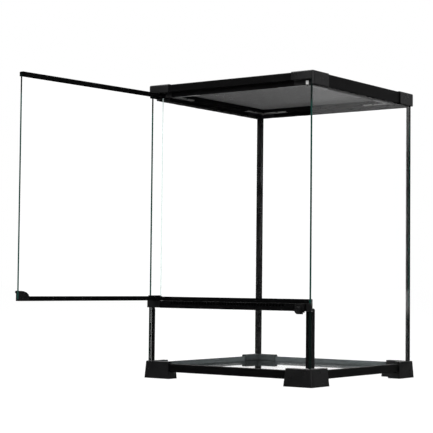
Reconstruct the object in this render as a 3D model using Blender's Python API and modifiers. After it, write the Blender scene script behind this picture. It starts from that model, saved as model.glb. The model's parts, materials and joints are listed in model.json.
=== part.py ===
# Front-opening glass terrarium with a lift-off mesh lid, in metres, +Z up.
# Built around the centre of the tank, then set down so that the world origin is
# the middle of the front left foot's underside. The door stands open.

import math

import bmesh
import bpy

# Overall sizes of the frame, at its corner blocks
TANK_WIDTH = 0.300
TANK_DEPTH = 0.300
TANK_HEIGHT = 0.450

# Clearances
FIT = 0.0003
SWING_CLEARANCE = 0.0007

# Glass
GLASS_THICKNESS = 0.003
GLASS_INSET = 0.003
PANE_HOLD = 0.011
FLOOR_HOLD = 0.0021

# Base frame
FOOT_ARM = 0.0435
FOOT_THICKNESS = 0.019
FOOT_HEIGHT = 0.0260
FOOT_FLARE = 0.0017
FOOT_END_FLARE = 0.0026
FOOT_ROUND = 0.0022
FOOT_INNER_WALL = 0.010
RAIL_INSET = 0.0015
BASE_RAIL_UNDERSIDE = 0.0104
BASE_RAIL_HEIGHT = 0.0125
BASE_RAIL_DEPTH = 0.014
BASE_RAIL_INSERT = 0.025
BASE_RAIL_WEB = 0.0023
RAIL_LIP = 0.002
RAIL_ROUND = 0.0009

# Top frame
TOP_BLOCK_HEIGHT = 0.0195
TOP_BLOCK_FRONT_ARM = 0.0378
TOP_BLOCK_SIDE_ARM = 0.043
TOP_BLOCK_ROUND = 0.0028
TOP_EDGE_ROUND = 0.0017
TOP_RAIL_ROUND = 0.0012
TOP_RAIL_DROP = 0.001
TOP_RING_WIDTH = 0.0152
LEDGE_REACH = 0.0068
LEDGE_THICKNESS = 0.0028
LEDGE_HEIGHT = 0.004
TONGUE_LENGTH = 0.010
TONGUE_INSET = 0.004
TONGUE_WIDTH = 0.008
TONGUE_HEIGHT = 0.0037
TONGUE_TOP_COVER = 0.003

# Corner strips
BACK_STRIP_FIT = 0.0001
BACK_STRIP_THICKNESS = 0.0006
BACK_STRIP_LEG = 0.0103
BACK_STRIP_SIDE_LEG = 0.007
BACK_STRIP_ROUND = 0.0005
BACK_STRIP_RIGHT_END = 0.0046
FRONT_STRIP_LEG_LEFT = 0.0056
FRONT_STRIP_LEG_RIGHT = 0.0069
FRONT_STRIP_SIDE_LEG_LEFT = 0.0077
FRONT_STRIP_SIDE_LEG_RIGHT = 0.0107
FRONT_STRIP_THICKNESS = 0.001
FRONT_STRIP_TIP_ROUND = 0.0028
FRONT_STRIP_RIGHT_RISE = 0.0043

# Vent bar across the front, under the door
BAR_TOP = 0.1244
BAR_HEIGHT = 0.0172
BAR_LEDGE_DROP = 0.0062
BAR_DEPTH = 0.0108
BAR_UPSTAND = 0.003
BAR_WALL = 0.002
BAR_FLOOR = 0.0012
BAR_REAR_LIP = 0.0014
BAR_PANE_HOLD = 0.0043
VENT_WIDTH = 0.0033
VENT_HEIGHT = 0.0034
VENT_PITCH = 0.0053
VENT_SPAN = 0.210
HINGE_BLOCK_LENGTH = 0.0247
HINGE_BLOCK_LIFT = 0.0003
BAR_END_LENGTH = 0.0087
BAR_END_ROUND = 0.003
BAR_OVERHANG = 0.0014
BAR_TONGUE = 0.012

# Door
DOOR_THICKNESS = 0.007
DOOR_INSET = 0.0005
DOOR_SIDE_GAP = 0.0006
DOOR_OPEN_DEGREES = 94.9
HINGE_SETBACK = 0.0099
DOOR_RAIL_WALL = 0.0017
DOOR_RAIL_WEB = 0.0025
DOOR_BOTTOM_RAIL_HEIGHT = 0.0066
DOOR_FOOT_ROOM = 0.00012
DOOR_CAP_LENGTH = 0.025
DOOR_CAP_SETBACK = 0.0042
DOOR_CAP_RISE = 0.0012
DOOR_HEEL_DEPTH = 0.003
DOOR_TOP_RAIL_HEIGHT = 0.0065
DOOR_RAIL_ROUND = 0.0006
DOOR_TOP_ROOM = 0.0007
DOOR_TOP_HOLD = 0.0066
PIN_RADIUS = 0.0015
PIN_RUNNING_FIT = 0.0001
PIN_DEPTH = 0.0055
HANDLE_LENGTH = 0.018
HANDLE_HEIGHT = 0.0142
HANDLE_LIP_REACH = 0.0022
HANDLE_LIP_WIDTH = 0.0045
HANDLE_LIP_HEIGHT = 0.0035
MAGNET_WIDTH = 0.0046
MAGNET_HEIGHT = 0.0036
MAGNET_THICKNESS = 0.0009
MAGNET_FROM_END = 0.0106
CATCH_PLATE_THICKNESS = 0.0005
CATCH_PLATE_HEIGHT = 0.0055

# Latch under the door's free corner
LATCH_FROM_SIDE = 0.0188
LATCH_WIDTH = 0.015
LATCH_GUIDE_HEIGHT = 0.0123
LATCH_GUIDE_BACK = 0.0008
LATCH_GUIDE_WALL = 0.0018
LATCH_LIP = 0.0017
LATCH_LIP_THICKNESS = 0.0009
LATCH_PLATE_THICKNESS = 0.0014
LATCH_PLATE_LENGTH = 0.0143
LATCH_STEM_RADIUS = 0.0015
KNOB_RADIUS = 0.0055
KNOB_LENGTH = 0.0042
KNOB_NECK_RADIUS = 0.0031
KNOB_ROUND = 0.001
KNOB_RISE = 0.0055

# Mesh lid
LID_BORDER = 0.0145
LID_HEIGHT = 0.010
LID_RIM = 0.002
LID_FLOOR = 0.0024
LID_LIP_DEPTH = 0.004
LID_LIP_WIDTH = 0.0077
LID_ROUND = 0.0008
MESH_THICKNESS = 0.0006
MESH_STRAND = 0.0034
MESH_CELLS = 14
RETAINER_HEIGHT = 0.0054
CLIP_ARM = 0.046
CLIP_WIDTH = 0.0062
CLIP_THICKNESS = 0.0006
CLIP_TURN_UP = 0.0012
CLIP_NOTCH_FROM_CORNER = 0.026
CLIP_NOTCH = 0.004
SCREW_RADIUS = 0.002
SCREW_HEAD = 0.0011
SCREW_SHANK_RADIUS = 0.001
SCREW_SHANK = 0.003
SCREW_FROM_CORNER = 0.0034

# Places worked out from the sizes above, from the tank's centre line
HALF_W = TANK_WIDTH / 2
HALF_D = TANK_DEPTH / 2
GLASS_IN = GLASS_INSET + GLASS_THICKNESS
LIP_IN = GLASS_IN + FIT + RAIL_LIP
BASE_RAIL_TOP = BASE_RAIL_UNDERSIDE + BASE_RAIL_HEIGHT
FLOOR_LEDGE = BASE_RAIL_UNDERSIDE + BASE_RAIL_WEB
FLOOR_UNDERSIDE = FLOOR_LEDGE + FIT
FLOOR_TOP = FLOOR_UNDERSIDE + GLASS_THICKNESS
PANE_FOOT = FLOOR_LEDGE + GLASS_THICKNESS / 2
TOP_UNDERSIDE = TANK_HEIGHT - TOP_BLOCK_HEIGHT
TOP_RAIL_TOP = TANK_HEIGHT - TOP_RAIL_DROP
PANE_HEAD = TOP_UNDERSIDE + PANE_HOLD
LEDGE_UNDERSIDE = TOP_UNDERSIDE + LEDGE_HEIGHT
LEDGE_TOP = LEDGE_UNDERSIDE + LEDGE_THICKNESS
LEDGE_IN = TOP_RING_WIDTH + LEDGE_REACH
FOOT_CENTRE = FOOT_THICKNESS / 2
BAR_UNDERSIDE = BAR_TOP - BAR_HEIGHT
BAR_LEDGE = BAR_TOP - BAR_LEDGE_DROP
DOOR_RECESS = DOOR_INSET + DOOR_THICKNESS + FIT
DOOR_WALL = DOOR_RECESS + CATCH_PLATE_THICKNESS + FIT
HINGE_X = -HALF_W + GLASS_IN + DOOR_SIDE_GAP + HINGE_SETBACK
HINGE_Y = -HALF_D + DOOR_INSET + DOOR_THICKNESS / 2
DOOR_FAR = HALF_W - GLASS_IN - DOOR_SIDE_GAP - HINGE_X
DOOR_FOOT = BAR_LEDGE + DOOR_FOOT_ROOM
DOOR_HEAD = TOP_UNDERSIDE + DOOR_TOP_HOLD
RECESS_TOP = DOOR_HEAD + DOOR_TOP_ROOM
HINGE_SWEEP = math.hypot(HINGE_SETBACK, DOOR_THICKNESS / 2) + SWING_CLEARANCE
LID_OUT = TOP_RING_WIDTH + FIT
LID_IN = LID_OUT + LID_BORDER
LID_UNDERSIDE = LEDGE_TOP + FIT
LID_FLOOR_TOP = LID_UNDERSIDE + LID_FLOOR
LID_TOP = LID_UNDERSIDE + LID_HEIGHT
MESH_UNDERSIDE = LID_FLOOR_TOP + FIT
LIP_UNDERSIDE = LID_UNDERSIDE - LID_LIP_DEPTH

CORNERS = {
    "front_left": (-1, -1, 0),
    "front_right": (1, -1, 90),
    "back_right": (1, 1, 180),
    "back_left": (-1, 1, 270),
}
SIDES = {
    "front": (0, -1, 0),
    "right": (1, 0, 90),
    "back": (0, 1, 180),
    "left": (-1, 0, 270),
}


def clear_scene():
    for obj in list(bpy.data.objects):
        bpy.data.objects.remove(obj, do_unlink=True)


def new_collection(name):
    collection = bpy.data.collections.new(name)
    bpy.context.scene.collection.children.link(collection)
    return collection


def new_material(name, colour, roughness, metallic=0.0, transmission=0.0):
    material = bpy.data.materials.new(name)
    material.use_nodes = True
    shader = material.node_tree.nodes["Principled BSDF"]
    shader.inputs["Base Color"].default_value = (*colour, 1.0)
    shader.inputs["Roughness"].default_value = roughness
    shader.inputs["Metallic"].default_value = metallic
    shader.inputs["Transmission Weight"].default_value = transmission
    return material


def new_empty(name, parent=None, location=(0, 0, 0), turn=0.0):
    empty = bpy.data.objects.new(name, None)
    empty.location = location
    empty.rotation_euler = (0, 0, math.radians(turn))
    empty.parent = parent
    parts.objects.link(empty)
    return empty


def add_object(name, bm, parent, material=None, location=(0, 0, 0), turn=0.0):
    """Make an object of a bmesh. With no material it is a cutter."""
    bm.normal_update()
    bmesh.ops.recalc_face_normals(bm, faces=bm.faces)
    mesh = bpy.data.meshes.new(name)
    bm.to_mesh(mesh)
    bm.free()
    obj = bpy.data.objects.new(name, mesh)
    obj.location = location
    obj.rotation_euler = (0, 0, math.radians(turn))
    obj.parent = parent
    if material is None:
        obj.display_type = "WIRE"
        obj.hide_render = True
        cutters.objects.link(obj)
    else:
        mesh.materials.append(material)
        parts.objects.link(obj)
    return obj


def add_box(bm, low, high):
    made = bmesh.ops.create_cube(bm, size=1.0)
    for vert in made["verts"]:
        for axis in range(3):
            middle = (low[axis] + high[axis]) / 2
            vert.co[axis] = middle + vert.co[axis] * (high[axis] - low[axis])
    return made["verts"]


def box(low, high):
    bm = bmesh.new()
    add_box(bm, low, high)
    return bm


def grown(low, high, by):
    return [value - by for value in low], [value + by for value in high]


def extruded(outline, start, end, axis):
    """Extrude a closed outline. Along X it is (y, z), along Y (x, z), along Z (x, y)."""
    bm = bmesh.new()
    corners = []
    for first, second in outline:
        place = [first, second]
        place.insert(axis, start)
        corners.append(bm.verts.new(place))
    face = bm.faces.new(corners)
    made = bmesh.ops.extrude_face_region(bm, geom=[face])
    moved = [item for item in made["geom"] if isinstance(item, bmesh.types.BMVert)]
    step = [0.0, 0.0, 0.0]
    step[axis] = end - start
    bmesh.ops.translate(bm, verts=moved, vec=step)
    bmesh.ops.recalc_face_normals(bm, faces=bm.faces)
    return bm


def round_edges(bm, chosen, radius, segments=3):
    """Round the edges whose two ends both pass the test."""
    edges = [edge for edge in bm.edges if all(chosen(vert.co) for vert in edge.verts)]
    bmesh.ops.bevel(
        bm, geom=edges, offset=radius, offset_type="OFFSET", segments=segments,
        profile=0.5, affect="EDGES",
    )
    return bm


def near(value, target):
    return abs(value - target) < 1e-6


def use_boolean(obj, other, operation):
    modifier = obj.modifiers.new(operation.lower(), "BOOLEAN")
    modifier.operation = operation
    modifier.solver = "EXACT"
    modifier.object = other


def cut(obj, *others):
    for other in others:
        use_boolean(obj, other, "DIFFERENCE")


def join(obj, *others):
    for other in others:
        use_boolean(obj, other, "UNION")


def turned(name, profile, parent, material, location, tilt, segments=24):
    """A turned piece: its profile is (radius, height) from the top down."""
    mesh = bpy.data.meshes.new(name)
    points = [(radius, 0, height) for radius, height in profile]
    mesh.from_pydata(points, [(i, i + 1) for i in range(len(points) - 1)], [])
    obj = bpy.data.objects.new(name, mesh)
    obj.location = location
    obj.rotation_euler = (math.radians(tilt), 0, 0)
    obj.parent = parent
    mesh.materials.append(material)
    screw = obj.modifiers.new("turn", "SCREW")
    screw.steps = segments
    screw.render_steps = segments
    screw.use_merge_vertices = True
    screw.merge_threshold = 0.00001
    parts.objects.link(obj)
    return obj


def cylinder(name, radius, low, high, parent, material, segments=24):
    """An upright round rod, or a round cutter, on its parent's Z axis."""
    bm = bmesh.new()
    made = bmesh.ops.create_cone(
        bm, cap_ends=True, segments=segments, radius1=radius, radius2=radius, depth=high - low,
    )
    bmesh.ops.translate(bm, verts=made["verts"], vec=(0, 0, (low + high) / 2))
    return add_object(name, bm, parent, material)


# Glass panes, each a plain sheet; a slot for a pane is the pane grown by the fit
def glass_sizes():
    bar_groove = BAR_UNDERSIDE + BAR_PANE_HOLD
    side_in = HALF_W - GLASS_IN - FIT
    return {
        "left_glass": (
            (-HALF_W + GLASS_INSET, -HALF_D + GLASS_INSET, PANE_FOOT),
            (-HALF_W + GLASS_IN, HALF_D - GLASS_INSET, PANE_HEAD),
        ),
        "right_glass": (
            (HALF_W - GLASS_IN, -HALF_D + GLASS_INSET, PANE_FOOT),
            (HALF_W - GLASS_INSET, HALF_D - GLASS_INSET, PANE_HEAD),
        ),
        "back_glass": (
            (-side_in, HALF_D - GLASS_IN, PANE_FOOT),
            (side_in, HALF_D - GLASS_INSET, PANE_HEAD),
        ),
        "lower_front_glass": (
            (-side_in, -HALF_D + GLASS_INSET, PANE_FOOT),
            (side_in, -HALF_D + GLASS_IN, bar_groove),
        ),
        "floor_glass": (
            (-HALF_W + LIP_IN + FIT, -HALF_D + LIP_IN + FIT, FLOOR_UNDERSIDE),
            (HALF_W - LIP_IN - FIT, HALF_D - LIP_IN - FIT, FLOOR_TOP),
        ),
    }


def build_glass():
    slots = {}
    for name, (low, high) in glass_sizes().items():
        add_object(name, box(low, high), tank, glass)
        low, high = grown(low, high, FIT)
        slots[name] = add_object(name + "_slot", box(low, high), tank)
    return slots


# Base frame: four feet, and four rails that push into them
def foot_shape():
    outline = [
        (0, 0), (FOOT_ARM, 0), (FOOT_ARM, FOOT_THICKNESS), (FOOT_THICKNESS, FOOT_THICKNESS),
        (FOOT_THICKNESS, FOOT_ARM), (0, FOOT_ARM),
    ]
    bm = extruded(outline, 0, FOOT_HEIGHT, 2)
    for vert in bm.verts:
        if vert.co.z < FOOT_HEIGHT / 2:
            for axis in (0, 1):
                if near(vert.co[axis], 0):
                    vert.co[axis] = -FOOT_FLARE
                if near(vert.co[axis], FOOT_ARM):
                    vert.co[axis] += FOOT_END_FLARE
    round_edges(bm, lambda at: at.x < FOOT_FLARE and at.y < FOOT_FLARE, FOOT_ROUND)
    round_edges(
        bm, lambda at: at.z > FOOT_HEIGHT - 1e-5 and min(at.x, at.y) < FOOT_ROUND,
        FOOT_ROUND / 3, 2,
    )
    return bm


def base_rail_outline():
    outer = GLASS_INSET - FIT
    groove = GLASS_IN + FIT
    return [
        (RAIL_INSET, BASE_RAIL_UNDERSIDE), (BASE_RAIL_DEPTH, BASE_RAIL_UNDERSIDE),
        (BASE_RAIL_DEPTH, FLOOR_LEDGE), (LIP_IN, FLOOR_LEDGE), (LIP_IN, BASE_RAIL_TOP),
        (groove, BASE_RAIL_TOP), (groove, PANE_FOOT - FIT), (outer, PANE_FOOT - FIT),
        (outer, BASE_RAIL_TOP), (RAIL_INSET, BASE_RAIL_TOP),
    ]


def build_base(slots):
    well = add_object("tank_well", box(
        (-HALF_W + FOOT_INNER_WALL, -HALF_D + FOOT_INNER_WALL, FLOOR_LEDGE),
        (HALF_W - FOOT_INNER_WALL, HALF_D - FOOT_INNER_WALL, TANK_HEIGHT),
    ), tank)
    rail_slots = []
    for name, (sx, sy, turn) in SIDES.items():
        length = (TANK_WIDTH if sy else TANK_DEPTH) - 2 * (FOOT_ARM - BASE_RAIL_INSERT)
        place = (sx * HALF_W, sy * HALF_D, 0)
        bm = extruded(base_rail_outline(), -length / 2, length / 2, 0)
        round_edges(bm, lambda at: near(at.y, RAIL_INSET), RAIL_ROUND, 2)
        add_object("base_rail_" + name, bm, tank, black, place, turn)
        bm = box(
            (-length / 2 - FIT, RAIL_INSET - FIT, BASE_RAIL_UNDERSIDE - FIT),
            (length / 2 + FIT, LIP_IN + FIT, BASE_RAIL_TOP + FIT),
        )
        rail_slots.append(add_object("rail_slot_" + name, bm, tank, None, place, turn))
        bm = box(
            (-length / 2 - FIT, LIP_IN - FIT, BASE_RAIL_UNDERSIDE - FIT),
            (length / 2 + FIT, BASE_RAIL_DEPTH + FIT, FLOOR_LEDGE + FIT),
        )
        rail_slots.append(add_object("ledge_slot_" + name, bm, tank, None, place, turn))
    neighbours = {
        "front_left": ("front", "left"), "front_right": ("front", "right"),
        "back_right": ("back", "right"), "back_left": ("back", "left"),
    }
    for name, (sx, sy, turn) in CORNERS.items():
        place = (sx * HALF_W, sy * HALF_D, 0)
        foot = add_object("base_corner_" + name, foot_shape(), tank, black, place, turn)
        cut(foot, well, slots["floor_glass"])
        cut(foot, *[slot for slot in rail_slots if slot.name.split("_")[-1] in neighbours[name]])
        cut(foot, slots["left_glass" if sx < 0 else "right_glass"])
        cut(foot, slots["lower_front_glass" if sy < 0 else "back_glass"])


# Top frame: four corner blocks with tongues, and four rails between them
def top_rail_outline(front):
    outer = GLASS_INSET - FIT
    groove = GLASS_IN + FIT
    ledge = [
        (LEDGE_IN, LEDGE_UNDERSIDE), (LEDGE_IN, LEDGE_TOP), (TOP_RING_WIDTH, LEDGE_TOP),
        (TOP_RING_WIDTH, TOP_RAIL_TOP), (RAIL_INSET, TOP_RAIL_TOP),
    ]
    if front:
        return [
            (RAIL_INSET, RECESS_TOP), (DOOR_WALL, RECESS_TOP), (DOOR_WALL, TOP_UNDERSIDE),
            (DOOR_WALL + BAR_WALL, TOP_UNDERSIDE), (DOOR_WALL + BAR_WALL, LEDGE_UNDERSIDE),
        ] + ledge
    return [
        (RAIL_INSET, TOP_UNDERSIDE), (outer, TOP_UNDERSIDE), (outer, PANE_HEAD + FIT),
        (groove, PANE_HEAD + FIT), (groove, TOP_UNDERSIDE), (LIP_IN, TOP_UNDERSIDE),
        (LIP_IN, LEDGE_UNDERSIDE),
    ] + ledge


def top_block_shape(arm_x, arm_y):
    outline = [
        (0, 0), (arm_x, 0), (arm_x, LEDGE_IN), (LEDGE_IN, LEDGE_IN), (LEDGE_IN, arm_y), (0, arm_y),
    ]
    bm = extruded(outline, TOP_UNDERSIDE, TANK_HEIGHT, 2)
    round_edges(bm, lambda at: near(at.x, 0) and near(at.y, 0), TOP_BLOCK_ROUND)
    round_edges(
        bm, lambda at: at.z > TANK_HEIGHT - 1e-5 and min(at.x, at.y) < TOP_BLOCK_ROUND,
        TOP_EDGE_ROUND, 2,
    )
    return bm


def tongue_shape(arm, along_x, grow):
    root = arm - TONGUE_LENGTH / 4
    top = TOP_RAIL_TOP - TONGUE_TOP_COVER
    low, high = grown(
        (root, TONGUE_INSET, top - TONGUE_HEIGHT),
        (arm + TONGUE_LENGTH, TONGUE_INSET + TONGUE_WIDTH, top), grow,
    )
    if not along_x:
        low[0], low[1] = low[1], low[0]
        high[0], high[1] = high[1], high[0]
    return box(low, high)


def build_top(slots):
    sockets = []
    lid_well = add_object("lid_well", box(
        (-HALF_W + TOP_RING_WIDTH, -HALF_D + TOP_RING_WIDTH, LEDGE_TOP),
        (HALF_W - TOP_RING_WIDTH, HALF_D - TOP_RING_WIDTH, TANK_HEIGHT * 2),
    ), tank)
    under_well = add_object("under_well", box(
        (-HALF_W + LIP_IN, -HALF_D + DOOR_WALL + BAR_WALL, 0),
        (HALF_W - LIP_IN, HALF_D - LIP_IN, LEDGE_UNDERSIDE),
    ), tank)
    recess = add_object("door_recess", box(
        (-HALF_W + GLASS_INSET - FIT, -HALF_D * 2, 0),
        (HALF_W - GLASS_INSET + FIT, -HALF_D + DOOR_WALL, RECESS_TOP),
    ), tank)
    hinge_pocket = add_object("hinge_pocket", box(
        (-HALF_W + GLASS_INSET - FIT, -HALF_D * 2, 0),
        (HINGE_X + HINGE_SWEEP, HINGE_Y + HINGE_SWEEP, RECESS_TOP),
    ), tank)
    pin_hole = cylinder(
        "top_pin_hole", PIN_RADIUS + PIN_RUNNING_FIT, DOOR_FOOT, RECESS_TOP + PIN_DEPTH + FIT,
        new_empty("top_pin_axis", tank, (HINGE_X, HINGE_Y, 0)), None,
    )
    for name, (sx, sy, turn) in CORNERS.items():
        place = (sx * HALF_W, sy * HALF_D, 0)
        arms = [TOP_BLOCK_FRONT_ARM, TOP_BLOCK_SIDE_ARM]
        if turn in (90, 270):
            arms.reverse()
        block = add_object("top_corner_" + name, top_block_shape(*arms), tank, black, place, turn)
        cut(block, lid_well, under_well)
        cut(block, slots["left_glass" if sx < 0 else "right_glass"])
        if sy > 0:
            cut(block, slots["back_glass"])
        else:
            cut(block, recess)
        if name == "front_left":
            cut(block, hinge_pocket, pin_hole)
        for arm, along_x in zip(arms, (True, False)):
            label = name + ("_x" if along_x else "_y")
            shape = tongue_shape(arm, along_x, 0)
            join(block, add_object("tongue_" + label, shape, tank, None, place, turn))
            shape = tongue_shape(arm, along_x, FIT)
            sockets.append(add_object("socket_" + label, shape, tank, None, place, turn))
    for name, (sx, sy, turn) in SIDES.items():
        span, arm = (TANK_WIDTH, TOP_BLOCK_FRONT_ARM) if sy else (TANK_DEPTH, TOP_BLOCK_SIDE_ARM)
        length = span - 2 * (arm + FIT)
        bm = extruded(top_rail_outline(name == "front"), -length / 2, length / 2, 0)
        round_edges(
            bm, lambda at: near(at.y, RAIL_INSET) and at.z > RECESS_TOP + FIT, TOP_RAIL_ROUND, 2,
        )
        place = (sx * HALF_W, sy * HALF_D, 0)
        rail = add_object("top_rail_" + name, bm, tank, black, place, turn)
        right_hand = {"front": "front_left_x", "right": "front_right_x",
                      "back": "back_right_x", "left": "back_left_x"}[name]
        left_hand = {"front": "front_right_y", "right": "back_right_y",
                     "back": "back_left_y", "left": "front_left_y"}[name]
        cut(rail, *[s for s in sockets if s.name in ("socket_" + right_hand, "socket_" + left_hand)])
    low = (HALF_W - GLASS_IN - DOOR_SIDE_GAP - MAGNET_FROM_END, -HALF_D + DOOR_RECESS, TOP_UNDERSIDE + FIT)
    size = (MAGNET_WIDTH, CATCH_PLATE_THICKNESS, CATCH_PLATE_HEIGHT)
    high = [start + length for start, length in zip(low, size)]
    add_object("door_catch_plate", box(low, high), tank, steel)


# Corner strips: outside the glass at the back, inside it below the vent bar in front
def build_strips():
    low = FOOT_HEIGHT + FIT
    high = TOP_UNDERSIDE - FIT
    inner = GLASS_INSET - BACK_STRIP_FIT
    outer = inner - BACK_STRIP_THICKNESS
    leg_end = outer + BACK_STRIP_LEG
    around_corner = [
        (outer, outer), (leg_end, outer), (leg_end, inner), (inner, inner),
        (inner, outer + BACK_STRIP_SIDE_LEG), (outer, outer + BACK_STRIP_SIDE_LEG),
    ]
    behind_only = [
        (BACK_STRIP_RIGHT_END, outer), (leg_end, outer), (leg_end, inner), (BACK_STRIP_RIGHT_END, inner),
    ]
    for sx, name, outline in ((-1, "back_left", around_corner), (1, "back_right", behind_only)):
        corner = (sx * (HALF_W - outline[0][0]), HALF_D - outer)
        outline = [(sx * (HALF_W - u), HALF_D - v) for u, v in outline]
        bm = extruded(outline, low, high, 2)
        round_edges(
            bm, lambda at: near(at.x, corner[0]) and near(at.y, corner[1]), BACK_STRIP_ROUND, 2,
        )
        add_object("corner_strip_" + name, bm, tank, black)
    start = GLASS_IN + FIT
    thick = start + FRONT_STRIP_THICKNESS
    for sx, name, leg, side_leg, high in (
        (-1, "front_left", FRONT_STRIP_LEG_LEFT, FRONT_STRIP_SIDE_LEG_LEFT,
         BAR_UNDERSIDE + HINGE_BLOCK_LIFT - FIT),
        (1, "front_right", FRONT_STRIP_LEG_RIGHT, FRONT_STRIP_SIDE_LEG_RIGHT, BAR_UNDERSIDE - FIT),
    ):
        end = start + leg
        back = start + side_leg
        outline = [
            (start, start), (end, start), (end, thick), (thick, thick), (thick, back), (start, back),
        ]
        outline = [(sx * (HALF_W - u), -HALF_D + v) for u, v in outline]
        bm = extruded(outline, low, high, 2)
        tip = -HALF_D + back
        rises = name == "front_right"
        if not rises:
            round_edges(
                bm, lambda at: at.z > high - 1e-5 and near(at.y, tip), FRONT_STRIP_TIP_ROUND, 3,
            )
        strip = add_object("corner_strip_" + name, bm, tank, black)
        if rises:
            # its side leg goes on up behind the vent bar's end
            top = high + FRONT_STRIP_RIGHT_RISE
            bm = box(
                (HALF_W - thick, -HALF_D + BAR_DEPTH + FIT, high - FRONT_STRIP_THICKNESS),
                (HALF_W - start, tip, top),
            )
            round_edges(bm, lambda at: near(at.z, top) and near(at.y, tip), FRONT_STRIP_TIP_ROUND, 3)
            join(strip, add_object("front_right_rise", bm, tank))


# Vent bar, with the hinge block at its left end and an end cap at its right
def build_vent_bar(slots):
    outer = GLASS_INSET - FIT
    groove = GLASS_IN + FIT
    inner = groove + BAR_WALL
    channel_low = BAR_UNDERSIDE + BAR_PANE_HOLD + FIT + BAR_FLOOR
    channel_high = BAR_LEDGE - BAR_FLOOR
    upstand = BAR_DEPTH - BAR_UPSTAND
    lip = BAR_DEPTH - BAR_REAR_LIP
    block_start = -HALF_W + BAR_OVERHANG
    block_end = block_start + HINGE_BLOCK_LENGTH
    cap_end = HALF_W - BAR_OVERHANG + FIT
    cap_start = cap_end - BAR_END_LENGTH
    front = (0, -HALF_D, 0)
    outline = [
        (0, BAR_UNDERSIDE), (outer, BAR_UNDERSIDE), (outer, channel_low - BAR_FLOOR),
        (groove, channel_low - BAR_FLOOR), (groove, BAR_UNDERSIDE), (inner, BAR_UNDERSIDE),
        (inner, channel_low), (BAR_WALL, channel_low), (BAR_WALL, channel_high),
        (lip, channel_high), (lip, channel_low), (BAR_DEPTH, channel_low),
        (BAR_DEPTH, BAR_TOP), (upstand, BAR_TOP),
        (upstand, BAR_LEDGE), (0, BAR_LEDGE),
    ]
    bm = extruded(outline, block_end + FIT, cap_start - FIT, 0)
    round_edges(bm, lambda at: near(at.y, 0), RAIL_ROUND / 2, 2)
    bar = add_object("vent_bar", bm, tank, black, front)
    vents = bmesh.new()
    count = int(VENT_SPAN / VENT_PITCH)
    middle = (channel_low + channel_high) / 2
    for index in range(count):
        x = (index - (count - 1) / 2) * VENT_PITCH
        add_box(
            vents, (x - VENT_WIDTH / 2, -BAR_WALL, middle - VENT_HEIGHT / 2),
            (x + VENT_WIDTH / 2, BAR_WALL + FIT, middle + VENT_HEIGHT / 2),
        )
    cut(bar, add_object("vent_slots", vents, tank, None, front))

    glass_in = HALF_W - GLASS_IN - FIT
    foot = BAR_UNDERSIDE + HINGE_BLOCK_LIFT
    outline = [
        (block_start, 0), (block_end, 0), (block_end, BAR_DEPTH), (-glass_in, BAR_DEPTH),
        (-glass_in, outer), (block_start, outer),
    ]
    bm = extruded(outline, foot, BAR_LEDGE, 2)
    round_edges(bm, lambda at: near(at.x, block_start) and near(at.y, 0), RAIL_ROUND)
    block = add_object("hinge_block", bm, tank, black, front)
    tongue_low = (BAR_WALL + FIT, channel_low + FIT)
    tongue_high = (inner - FIT, channel_high - FIT)
    tongue = add_object("hinge_block_tongue", box(
        (block_end - BAR_TONGUE / 4, tongue_low[0], tongue_low[1]),
        (block_end + BAR_TONGUE, tongue_high[0], tongue_high[1]),
    ), tank, None, front)
    join(block, tongue)
    pin_hole = cylinder(
        "bottom_pin_hole", PIN_RADIUS + PIN_RUNNING_FIT, BAR_LEDGE - PIN_DEPTH - FIT, BAR_TOP,
        new_empty("bottom_pin_axis", tank, (HINGE_X, HINGE_Y, 0)), None,
    )
    cut(block, slots["lower_front_glass"], pin_hole)

    outline = [
        (cap_start, 0), (cap_end, 0), (cap_end, outer), (glass_in, outer),
        (glass_in, BAR_DEPTH), (cap_start, BAR_DEPTH),
    ]
    bm = extruded(outline, BAR_UNDERSIDE, BAR_LEDGE, 2)
    round_edges(bm, lambda at: near(at.x, cap_end) and near(at.z, BAR_LEDGE), BAR_END_ROUND, 4)
    cap = add_object("vent_bar_end", bm, tank, black, front)
    tongue = add_object("bar_end_tongue", box(
        (cap_start - BAR_TONGUE, tongue_low[0], tongue_low[1]),
        (cap_start + BAR_TONGUE / 4, tongue_high[0], tongue_high[1]),
    ), tank, None, front)
    post = add_object("bar_end_upstand", box(
        (cap_start, upstand, BAR_LEDGE - BAR_UPSTAND), (glass_in, BAR_DEPTH, BAR_TOP),
    ), tank, None, front)
    join(cap, tongue, post)
    cut(cap, slots["lower_front_glass"])


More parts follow.
